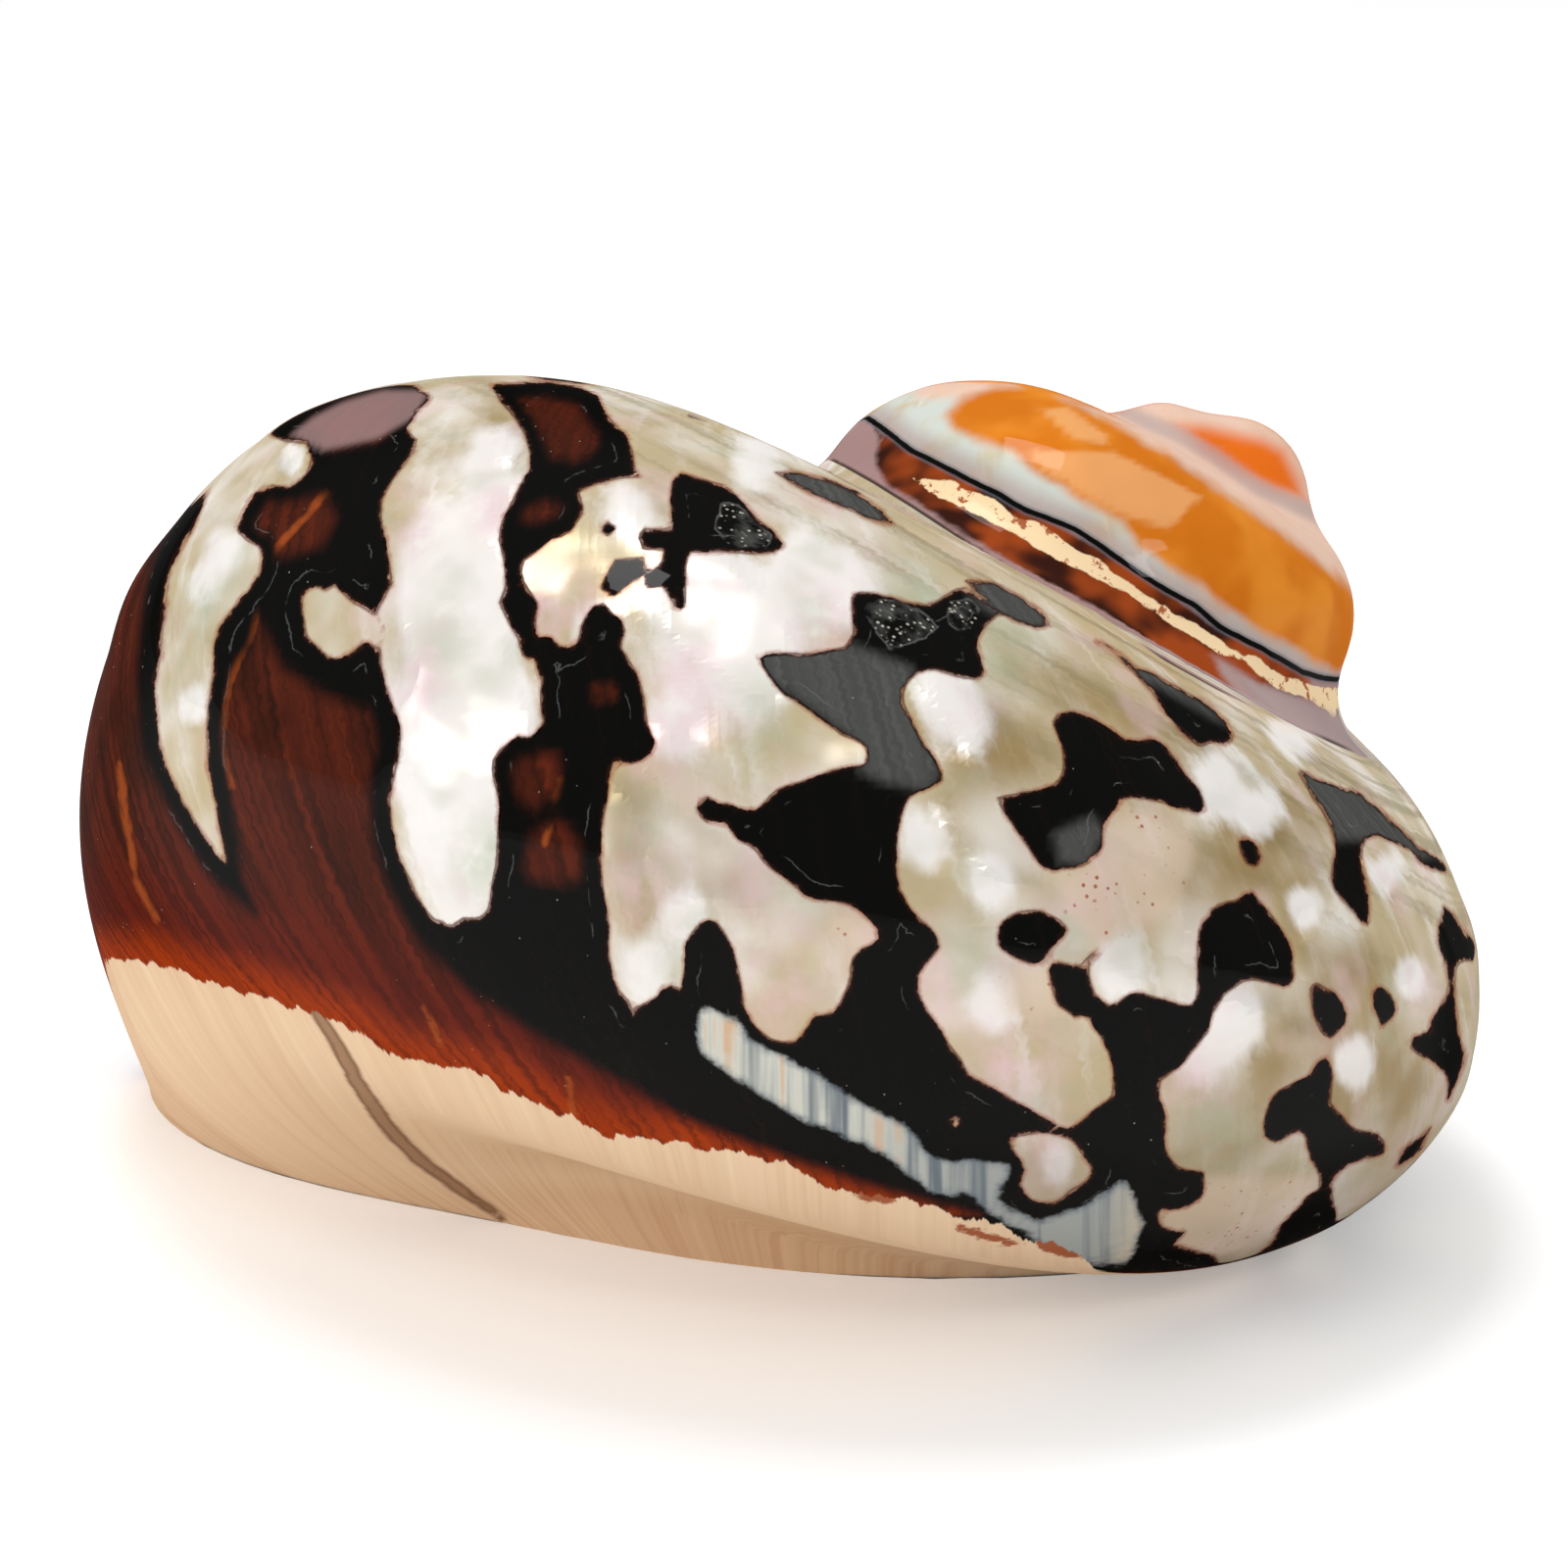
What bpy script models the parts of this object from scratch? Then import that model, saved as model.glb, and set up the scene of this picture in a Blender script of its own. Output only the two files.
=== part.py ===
"""Polished turban shell, lying mouth down.

The shell is one grown piece.  A mouth outline is carried round a leaning
coiling axis while it shrinks towards the pole of the coil, which gives the
whorls.  The last turn and a half is hollow and opens underneath.
"""

import math

import bmesh
import bpy
import numpy as np

# Coil: where it turns and how fast it grows (metres, degrees)
POLE_HEIGHT = 0.0474
AXIS_LEAN = 39.4
AXIS_HEADING = 17.4
GROWTH_PER_TURN = 2.71
MOUTH_PINCH = 0.12
MOUTH_REACH = 86.0
SETTLE = 0.0062
SETTLE_PER_TURN = 24.2

# Whorl outline, in the plane of the mouth: mean radius, place and waves round it
WHORL_RADIUS = 0.03455
WHORL_CENTRE = (-0.0337, 0.0123)
OVAL = (0.075, -57.6)
EGG = (0.019, 44.5)
SQUARE = (0.014, 4.1)

# How the outline differs at the mouth itself
MOUTH_SHIFT = (0.0006, -0.0020)
MOUTH_OVAL = (0.127, -11.2)
MOUTH_EGG = (0.017, -40.8)

# How the older whorls differ: a little fuller and more oval, from this many turns back
OLD_TURNS = 1.05
OLD_SWELL = 0.026
OLD_OVAL = (0.039, 8.4)

# Blunt polished tip: the turn where whole whorls begin, how long they taper, and
# the worn dome that fills the middle of the coil, placed from the pole
TIP_TURN = -2.16
TIP_TAPER = 0.30
TIP_DOME_RADIUS = 0.0050
TIP_DOME_PLACE = (-0.0033, -0.0008, -0.0054)

# Wall thickness, how it thins to the lip over the last stretch of growth, and the
# thick pad of the inner lip, on the side of the outline that lies by the axis
WALL = 0.0036
LIP_WALL = 0.0022
LIP_STRETCH = 40.0
DEEP_WALL_SHARE = 0.45
PAD = 0.0115
PAD_BEARING = -70.0

# Cavity: turns back from the mouth where each length of it starts and ends
NEAR_CAVITY = (-0.90, 0.0)
FAR_CAVITY = (-1.55, -0.86)
SOLID_BEHIND = 1.0

# Worn knobs in rows along the whorl
KNOB_HEIGHT = 0.0005
KNOBS_PER_TURN = 15
KNOB_ROWS = (62.0, 92.0, 124.0)
KNOB_WIDTH = 11.0

# Fineness of the solids
RINGS_PER_TURN = 120
POINTS_PER_RING = 96
VOXEL = 0.0008
SOFTENING_ROUNDS = 20
SUTURE_ROUNDING = 0.0035
OUTER_FACES = 5000
CAVITY_FACES = 2200
SKIRT = 0.003

NACRE_COLOUR = (0.56, 0.45, 0.35, 1.0)
NACRE_ROUGHNESS = 0.12


def clear_scene():
    """Remove whatever objects the file holds."""
    for thing in list(bpy.data.objects):
        bpy.data.objects.remove(thing, do_unlink=True)


def coil_axis():
    """Return the unit vector along the coiling axis, towards the tip."""
    lean = math.radians(AXIS_LEAN)
    heading = math.radians(AXIS_HEADING)
    level = math.sin(lean)
    return np.array([level * math.cos(heading), level * math.sin(heading), math.cos(lean)])


def turn_about(axis, angles):
    """Return one rotation matrix about the axis for each angle."""
    cross = np.array([[0.0, -axis[2], axis[1]], [axis[2], 0.0, -axis[0]], [-axis[1], axis[0], 0.0]])
    sines = np.sin(angles)[:, None, None]
    rest = (1.0 - np.cos(angles))[:, None, None]
    return np.eye(3) + sines * cross + rest * (cross @ cross)


def wave(shape, order, bearing):
    """Return a wave of so many lobes round the outline."""
    size, peak = shape
    return size * np.cos(order * (bearing - math.radians(peak)))


def knobs(growth, bearing):
    """Return the knobs' share of the radius, where they stand on the whorl."""
    rows = sum(np.exp(-(((bearing - math.radians(row)) / math.radians(KNOB_WIDTH)) ** 2)) for row in KNOB_ROWS)
    along = np.clip(np.cos(KNOBS_PER_TURN * growth), 0.0, 1.0) ** 2
    return KNOB_HEIGHT / WHORL_RADIUS * rows * along


def whorl(growth, bearing, hollow=False):
    """Return points of the outer skin or the hollow, growth in rows and bearing in columns."""
    axis = coil_axis()
    pole = np.array([0.0, 0.0, POLE_HEIGHT])
    growth = np.asarray(growth)[:, None]
    bearing = np.asarray(bearing)[None, :]
    near_mouth = np.exp(-((growth / math.radians(MOUTH_REACH)) ** 2))
    older = 1.0 - np.exp(-((growth / (2.0 * math.pi * OLD_TURNS)) ** 6))
    shape = 1.0 + wave(OVAL, 2, bearing) + wave(EGG, 3, bearing) + wave(SQUARE, 4, bearing)
    shape = shape + near_mouth * (wave(MOUTH_OVAL, 2, bearing) + wave(MOUTH_EGG, 3, bearing))
    shape = shape + older * wave(OLD_OVAL, 2, bearing)
    if not hollow:
        shape = shape + knobs(growth, bearing)
    tip_end = 2.0 * math.pi * TIP_TURN
    taper = np.clip((tip_end - growth) / (2.0 * math.pi * TIP_TAPER), 0.0, 1.0)
    radius = WHORL_RADIUS * shape * np.sqrt(1.0 - taper**2)
    steady = math.log(GROWTH_PER_TURN) / (2.0 * math.pi) * growth
    scale = np.exp(steady + MOUTH_PINCH * (1.0 - near_mouth) + OLD_SWELL * older)
    if hollow:
        lip = np.exp(growth / math.radians(LIP_STRETCH))
        wall = (WALL + (LIP_WALL - WALL) * lip) * (DEEP_WALL_SHARE + (1.0 - DEEP_WALL_SHARE) * scale)
        beside_axis = (0.5 + 0.5 * np.cos(bearing - math.radians(PAD_BEARING))) ** 1.5
        radius = np.maximum(radius - wall / scale - PAD * beside_axis, 0.0)
    outline = np.stack(
        [
            WHORL_CENTRE[0] + near_mouth * MOUTH_SHIFT[0] + radius * np.cos(bearing),
            WHORL_CENTRE[1] + near_mouth * MOUTH_SHIFT[1] + radius * np.sin(bearing),
            np.zeros_like(radius),
        ],
        axis=-1,
    )
    slide = SETTLE * np.exp(math.log(SETTLE_PER_TURN) / (2.0 * math.pi) * growth)
    arms = outline - pole + SETTLE * axis
    turned = np.einsum("nij,nmj->nmi", turn_about(axis, -growth[:, 0]), arms)
    return pole + scale[:, :, None] * turned - slide[:, :, None] * axis


def rings(first_turn, last_turn, hollow=False):
    """Return rows of surface points between two turns, the tip's first row at a point."""
    count = max(8, round(RINGS_PER_TURN * (last_turn - first_turn)))
    growth = 2.0 * math.pi * np.linspace(first_turn, last_turn, count + 1)
    bearing = 2.0 * math.pi * np.arange(POINTS_PER_RING) / POINTS_PER_RING
    return whorl(growth, bearing, hollow)


def add_tube(name, rows):
    """Make a closed tube through rows of points, with a fan over each end."""
    row_count, column_count = rows.shape[:2]
    ends = [rows[0].mean(axis=0), rows[-1].mean(axis=0)]
    points = np.concatenate([rows.reshape(-1, 3), ends])
    first_hub = row_count * column_count
    faces = []
    for column in range(column_count):
        beside = (column + 1) % column_count
        for row in range(row_count - 1):
            here = row * column_count
            above = here + column_count
            faces.append((here + column, above + column, above + beside, here + beside))
        top = (row_count - 1) * column_count
        faces.append((first_hub, column, beside))
        faces.append((first_hub + 1, top + beside, top + column))
    mesh = bpy.data.meshes.new(name)
    mesh.from_pydata(points.tolist(), [], faces)
    thing = bpy.data.objects.new(name, mesh)
    bpy.context.scene.collection.objects.link(thing)
    return thing


def add_skirt(rows, depth=SKIRT):
    """Carry the last row straight down below the ground, so that a level cut ends it."""
    below = rows[-1] - np.array([0.0, 0.0, depth])
    return np.concatenate([rows, below[None]])


def settle_modifiers(thing):
    """Replace the object's mesh with what its modifiers make of it."""
    graph = bpy.context.evaluated_depsgraph_get()
    mesh = bpy.data.meshes.new_from_object(thing.evaluated_get(graph))
    thing.modifiers.clear()
    thing.data = mesh


def skin_over(thing):
    """Put one clean skin over a mesh that crosses itself."""
    skin = thing.modifiers.new("skin", "REMESH")
    skin.mode = "VOXEL"
    skin.voxel_size = VOXEL
    settle_modifiers(thing)


def swell(thing, distance):
    """Push the whole skin out, or in, by a distance."""
    push = thing.modifiers.new("push", "DISPLACE")
    push.mid_level = 0.0
    push.strength = distance
    settle_modifiers(thing)


def fuse(thing, faces, rounding=0.0):
    """Melt a self-crossing tube into one clean skin, its hollow creases rounded."""
    skin_over(thing)
    if rounding > 0.0:
        swell(thing, rounding)
        skin_over(thing)
        swell(thing, -rounding)
        skin_over(thing)
    soft = thing.modifiers.new("soft", "SMOOTH")
    soft.factor = 0.5
    soft.iterations = SOFTENING_ROUNDS
    settle_modifiers(thing)
    thinner = thing.modifiers.new("thinner", "DECIMATE")
    thinner.ratio = min(1.0, faces / (2.0 * len(thing.data.polygons)))
    settle_modifiers(thing)


def combine(thing, other, operation):
    """Cut or join another solid, then remove it."""
    step = thing.modifiers.new(operation.lower(), "BOOLEAN")
    step.operation = operation
    step.object = other
    settle_modifiers(thing)
    bpy.data.objects.remove(other, do_unlink=True)


def add_tip_dome():
    """Make the worn dome in the middle of the coil's tip."""
    dome = bpy.data.meshes.new("tip_dome")
    ball = bmesh.new()
    bmesh.ops.create_icosphere(ball, subdivisions=4, radius=TIP_DOME_RADIUS)
    ball.to_mesh(dome)
    ball.free()
    thing = bpy.data.objects.new("tip_dome", dome)
    thing.location = np.array([0.0, 0.0, POLE_HEIGHT]) + np.array(TIP_DOME_PLACE)
    bpy.context.scene.collection.objects.link(thing)
    return thing


def join(things):
    """Put all the meshes into the first object, still crossing one another."""
    bpy.context.view_layer.update()
    mesh = bmesh.new()
    for thing in things:
        placed = thing.data.copy()
        placed.transform(thing.matrix_world)
        mesh.from_mesh(placed)
        bpy.data.meshes.remove(placed)
    mesh.to_mesh(things[0].data)
    mesh.free()
    for thing in things[1:]:
        bpy.data.objects.remove(thing, do_unlink=True)
    return things[0]


def add_cavity(name, turns):
    """Make one length of the hollow, clear of the older whorl that it wraps."""
    rows = rings(turns[0], turns[1], hollow=True)
    if turns[1] == 0.0:
        rows = add_skirt(rows, 2.0 * SKIRT)
    cavity = add_tube(name, rows)
    fuse(cavity, CAVITY_FACES)
    older = add_tube("older_whorl", rings(TIP_TURN - TIP_TAPER, turns[1] - SOLID_BEHIND))
    fuse(older, OUTER_FACES)
    combine(cavity, older, "DIFFERENCE")
    return cavity


def add_ground_block():
    """Make a block that fills everything under the ground plane."""
    reach = 4.0 * WHORL_RADIUS
    corners = [(x, y, z) for z in (-reach, 0.0) for y in (-reach, reach) for x in (-reach, reach)]
    faces = [(0, 2, 3, 1), (4, 5, 7, 6), (0, 1, 5, 4), (2, 6, 7, 3), (0, 4, 6, 2), (1, 3, 7, 5)]
    mesh = bpy.data.meshes.new("ground_block")
    mesh.from_pydata(corners, [], faces)
    block = bpy.data.objects.new("ground_block", mesh)
    bpy.context.scene.collection.objects.link(block)
    return block


def centre_on_ground(thing):
    """Move the mesh so that its box stands centred on the origin."""
    count = len(thing.data.vertices)
    flat = np.empty(3 * count)
    thing.data.vertices.foreach_get("co", flat)
    points = flat.reshape(-1, 3)
    middle = (points.min(axis=0) + points.max(axis=0)) / 2.0
    points -= np.array([middle[0], middle[1], points[:, 2].min()])
    thing.data.vertices.foreach_set("co", points.ravel())
    thing.data.update()


def keep_largest_piece(thing):
    """Drop crumbs that a cut leaves loose, and keep the shell itself."""
    mesh = bmesh.new()
    mesh.from_mesh(thing.data)
    left = set(mesh.verts)
    pieces = []
    while left:
        start = left.pop()
        piece = {start}
        edge = [start]
        while edge:
            near = {link.other_vert(point) for point in edge for link in point.link_edges} - piece
            piece |= near
            edge = list(near)
        left -= piece
        pieces.append(piece)
    pieces.sort(key=len)
    for piece in pieces[:-1]:
        bmesh.ops.delete(mesh, geom=list(piece), context="VERTS")
    mesh.to_mesh(thing.data)
    mesh.free()


def shell_material():
    """Return polished nacre with warm outer layers, as one mean finish."""
    material = bpy.data.materials.new("polished_shell")
    material.use_nodes = True
    surface = material.node_tree.nodes["Principled BSDF"]
    surface.inputs["Base Color"].default_value = NACRE_COLOUR
    surface.inputs["Roughness"].default_value = NACRE_ROUGHNESS
    surface.inputs["Metallic"].default_value = 0.0
    surface.inputs["Coat Weight"].default_value = 1.0
    material.diffuse_color = NACRE_COLOUR
    return material


def build_shell():
    """Build the shell as one closed solid."""
    shell = join([add_tube("shell", add_skirt(rings(TIP_TURN - TIP_TAPER, 0.0))), add_tip_dome()])
    fuse(shell, OUTER_FACES, SUTURE_ROUNDING)
    for name, turns in (("near_cavity", NEAR_CAVITY), ("far_cavity", FAR_CAVITY)):
        combine(shell, add_cavity(name, turns), "DIFFERENCE")
    combine(shell, add_ground_block(), "DIFFERENCE")
    keep_largest_piece(shell)
    centre_on_ground(shell)
    shell.data.materials.clear()
    shell.data.materials.append(shell_material())
    shell.data.shade_smooth()
    shell.data.set_sharp_from_angle(angle=math.radians(40.0))
    return shell


def main():
    """Clear the file and build the shell."""
    clear_scene()
    build_shell()


if __name__ == "__main__":
    main()
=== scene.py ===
"""Polished turban shell, lying mouth down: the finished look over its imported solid.

The outer skin is grown again from the solid's own coil, at a finer grain, and
carries the layers that polishing has laid bare: pearl, black and rust islands,
a peach base, an amber spire.  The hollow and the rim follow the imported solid.
"""

import logging
import math
from dataclasses import dataclass
from enum import Enum

import bmesh
import bpy
import numpy as np
from mathutils import Matrix, Vector, noise
from mathutils.bvhtree import BVHTree


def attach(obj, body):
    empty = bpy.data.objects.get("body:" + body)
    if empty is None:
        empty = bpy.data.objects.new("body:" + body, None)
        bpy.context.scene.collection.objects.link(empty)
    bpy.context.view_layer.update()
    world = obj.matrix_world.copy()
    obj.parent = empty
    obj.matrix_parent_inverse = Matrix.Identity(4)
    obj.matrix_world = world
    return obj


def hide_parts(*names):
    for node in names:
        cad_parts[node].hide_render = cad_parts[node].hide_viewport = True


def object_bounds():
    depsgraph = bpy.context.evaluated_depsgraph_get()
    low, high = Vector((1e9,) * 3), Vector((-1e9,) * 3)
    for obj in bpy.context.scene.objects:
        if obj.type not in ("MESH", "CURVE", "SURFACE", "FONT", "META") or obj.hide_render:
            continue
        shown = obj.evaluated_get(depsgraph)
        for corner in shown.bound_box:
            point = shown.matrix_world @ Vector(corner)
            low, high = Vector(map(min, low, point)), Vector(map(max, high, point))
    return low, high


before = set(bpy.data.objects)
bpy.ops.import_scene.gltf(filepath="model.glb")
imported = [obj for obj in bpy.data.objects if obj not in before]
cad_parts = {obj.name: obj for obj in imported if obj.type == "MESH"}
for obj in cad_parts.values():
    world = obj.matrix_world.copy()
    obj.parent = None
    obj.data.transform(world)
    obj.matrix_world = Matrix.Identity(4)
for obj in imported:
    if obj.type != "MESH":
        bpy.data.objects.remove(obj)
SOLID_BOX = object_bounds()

LOG = logging.getLogger("turban_shell")
SHELL_NODE = "shell"

Array = np.ndarray
Outline = tuple[tuple[float, float], ...]


def tone(red: float, green: float, blue: float) -> tuple[float, float, float, float]:
    """Return a screen colour, 0 to 255, as a linear one.

    Args:
        red: Red as seen.
        green: Green as seen.
        blue: Blue as seen.

    Returns:
        The linear colour with full alpha.
    """
    parts = [
        ((v / 255.0 + 0.055) / 1.055) ** 2.4 if v > 10.0 else v / 255.0 / 12.92
        for v in (red, green, blue)
    ]
    return (parts[0], parts[1], parts[2], 1.0)


def ease(low: float, high: float, values: Array) -> Array:
    """Return a smooth step from 0 at low to 1 at high.

    Args:
        low: Where the step starts.
        high: Where the step ends.
        values: The values to map.

    Returns:
        The eased values.
    """
    share = np.clip((values - low) / (high - low), 0.0, 1.0)
    return share * share * (3.0 - 2.0 * share)


@dataclass(frozen=True)
class Coil:
    """The growth of the shell: an outline carried round a leaning axis while it shrinks."""

    pole_height: float = 0.0474
    axis_lean: float = 39.4
    axis_heading: float = 17.4
    growth_per_turn: float = 2.71
    mouth_pinch: float = 0.12
    mouth_reach: float = 86.0
    settle: float = 0.0062
    settle_per_turn: float = 24.2
    whorl_radius: float = 0.03455
    whorl_centre: tuple[float, float] = (-0.0337, 0.0123)
    oval: tuple[float, float] = (0.075, -57.6)
    egg: tuple[float, float] = (0.019, 44.5)
    square: tuple[float, float] = (0.014, 4.1)
    mouth_shift: tuple[float, float] = (0.0006, -0.0020)
    mouth_oval: tuple[float, float] = (0.127, -11.2)
    mouth_egg: tuple[float, float] = (0.017, -40.8)
    old_turns: float = 1.05
    old_swell: float = 0.026
    old_oval: tuple[float, float] = (0.039, 8.4)
    tip_turn: float = -2.16
    tip_taper: float = 0.30
    knob_height: float = 0.0005
    knobs_per_turn: int = 15
    knob_rows: tuple[float, ...] = (62.0, 92.0, 124.0)
    knob_width: float = 11.0

    def axis(self) -> Array:
        """Return the unit vector along the coiling axis, towards the tip."""
        lean, heading = math.radians(self.axis_lean), math.radians(self.axis_heading)
        level = math.sin(lean)
        return np.array([level * math.cos(heading), level * math.sin(heading), math.cos(lean)])

    def turned(self, angles: Array) -> Array:
        """Return one rotation matrix about the axis for each angle.

        Args:
            angles: The angles, in radians.

        Returns:
            The matrices, one per angle.
        """
        a = self.axis()
        cross = np.array([[0.0, -a[2], a[1]], [a[2], 0.0, -a[0]], [-a[1], a[0], 0.0]])
        sines, cosines = np.sin(angles)[:, None, None], np.cos(angles)[:, None, None]
        return np.eye(3) + sines * cross + (1.0 - cosines) * (cross @ cross)

    @staticmethod
    def wave(shape: tuple[float, float], order: int, bearing: Array) -> Array:
        """Return a wave of so many lobes round the outline.

        Args:
            shape: The wave's size and the bearing of its peak, in degrees.
            order: How many lobes.
            bearing: Where round the outline, in radians.

        Returns:
            The wave's share of the radius.
        """
        return shape[0] * np.cos(order * (bearing - math.radians(shape[1])))

    def knobs(self, growth: Array, bearing: Array) -> Array:
        """Return the worn knobs' share of the radius.

        Args:
            growth: Where along the whorl, in radians.
            bearing: Where round the outline, in radians.

        Returns:
            The share of the radius.
        """
        width = math.radians(self.knob_width)
        rows = sum(np.exp(-(((bearing - math.radians(row)) / width) ** 2)) for row in self.knob_rows)
        along = np.clip(np.cos(self.knobs_per_turn * growth), 0.0, 1.0) ** 2
        return self.knob_height / self.whorl_radius * rows * along

    def skin(self, growth: Array, bearing: Array) -> Array:
        """Return points of the outer skin.

        Args:
            growth: Places along the whorl, in radians, 0 at the lip and negative towards the tip.
            bearing: Places round the outline, in radians.

        Returns:
            The points, growth in rows and bearing in columns.
        """
        axis, pole = self.axis(), np.array([0.0, 0.0, self.pole_height])
        growth, bearing = np.asarray(growth)[:, None], np.asarray(bearing)[None, :]
        near_mouth = np.exp(-((growth / math.radians(self.mouth_reach)) ** 2))
        older = 1.0 - np.exp(-((growth / (2.0 * math.pi * self.old_turns)) ** 6))
        shape = 1.0 + self.wave(self.oval, 2, bearing) + self.wave(self.egg, 3, bearing)
        shape = shape + self.wave(self.square, 4, bearing) + older * self.wave(self.old_oval, 2, bearing)
        mouth_shape = self.wave(self.mouth_oval, 2, bearing) + self.wave(self.mouth_egg, 3, bearing)
        shape = shape + near_mouth * mouth_shape
        shape = shape + self.knobs(growth, bearing)
        taper = np.clip((2.0 * math.pi * self.tip_turn - growth) / (2.0 * math.pi * self.tip_taper), 0.0, 1.0)
        radius = self.whorl_radius * shape * np.sqrt(1.0 - taper**2)
        steady = math.log(self.growth_per_turn) / (2.0 * math.pi) * growth
        scale = np.exp(steady + self.mouth_pinch * (1.0 - near_mouth) + self.old_swell * older)
        outline = np.stack(
            [
                self.whorl_centre[0] + near_mouth * self.mouth_shift[0] + radius * np.cos(bearing),
                self.whorl_centre[1] + near_mouth * self.mouth_shift[1] + radius * np.sin(bearing),
                np.zeros_like(radius),
            ],
            axis=-1,
        )
        slide = self.settle * np.exp(math.log(self.settle_per_turn) / (2.0 * math.pi) * growth)
        turned = np.einsum("nij,nmj->nmi", self.turned(-growth[:, 0]), outline - pole + self.settle * axis)
        return pole + scale[:, :, None] * turned - slide[:, :, None] * axis


@dataclass(frozen=True)
class PhotoEye:
    """The place that the shell is seen from, tied to the coil's pole."""

    lens_mm: float = 105.0
    sensor_mm: float = 36.0
    frame_pixels: float = 1600.0
    elevation: float = 15.18
    pole_pixel: tuple[float, float] = (1308.8, 414.0)
    pole_depth: float = 0.278

    def focal(self) -> float:
        """Return the focal length in pixels of the frame."""
        return self.lens_mm / self.sensor_mm * self.frame_pixels

    def directions(self) -> tuple[Array, Array, Array]:
        """Return the eye's right, up and forward directions."""
        tilt = math.radians(self.elevation)
        up = np.array([0.0, math.sin(tilt), math.cos(tilt)])
        return np.array([1.0, 0.0, 0.0]), up, np.array([0.0, math.cos(tilt), -math.sin(tilt)])

    def place(self, pole: Array) -> Array:
        """Return where the eye stands.

        Args:
            pole: The coil's pole.

        Returns:
            The eye's position.
        """
        right, up, forward = self.directions()
        half = self.frame_pixels / 2.0
        across = (self.pole_pixel[0] - half) / self.focal() * self.pole_depth
        above = -(self.pole_pixel[1] - half) / self.focal() * self.pole_depth
        return pole - right * across - up * above - forward * self.pole_depth

    def pixels(self, points: Array, pole: Array) -> Array:
        """Return where points are seen in the frame.

        Args:
            points: The points, one per row.
            pole: The coil's pole.

        Returns:
            Their pixels, right and down from the frame's top left corner.
        """
        right, up, forward = self.directions()
        away = points - self.place(pole)
        depth = away @ forward
        half = self.frame_pixels / 2.0
        across = half + self.focal() * (away @ right) / depth
        down = half - self.focal() * (away @ up) / depth
        return np.stack([across, down], axis=1)

    def add_camera(self, pole: Array) -> bpy.types.Object:
        """Make the camera and set it as the scene's own.

        Args:
            pole: The coil's pole.

        Returns:
            The camera.
        """
        data = bpy.data.cameras.new("photo_eye")
        data.lens = self.lens_mm
        data.sensor_width = self.sensor_mm
        data.clip_start = 0.01
        data.clip_end = 20.0
        camera = bpy.data.objects.new("photo_eye", data)
        camera.location = self.place(pole)
        camera.rotation_euler = (math.radians(90.0 - self.elevation), 0.0, 0.0)
        bpy.context.scene.collection.objects.link(camera)
        bpy.context.scene.camera = camera
        return camera


class Mark(Enum):
    """The measures that the skin carries for its finish, by the name of each attribute."""

    GROWTH = "growth"
    BEARING = "bearing"
    LAYER = "layer"
    RUST = "rust"
    GREY = "grey"
    PEACH = "peach"
    BAND = "band"
    INSET = "inset"
    TAN = "tan"
    # Soft white lumps: partly the pearl's own white, partly painted highlights on its knobs.
    WHITE = "white"
    PINK = "pink"
    GREEN = "green"
    WORN = "worn"
    STREAK = "streak"
    SEEN = "seen"
    FAN = "fan"
    SPIRE = "spire"
    SUTURE = "suture"
    AMBER = "amber"
    # Painted reflections of a soft box on the amber spire.
    PAINTED_REFLECTION = "facet"
    PALE = "pale"
    TIP = "tip"
    # Rust tones with painted shade under the whorl, above the last suture.
    RUST_AND_SHADE = "rusty"
    CREAM = "cream"
    # Lilac patches, and the painted shade of the upper suture's groove.
    LILAC_AND_SUTURE_SHADE = "lilac"
    LINE = "line"
    CRACK = "crack"
    PATCH = "patch"
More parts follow.
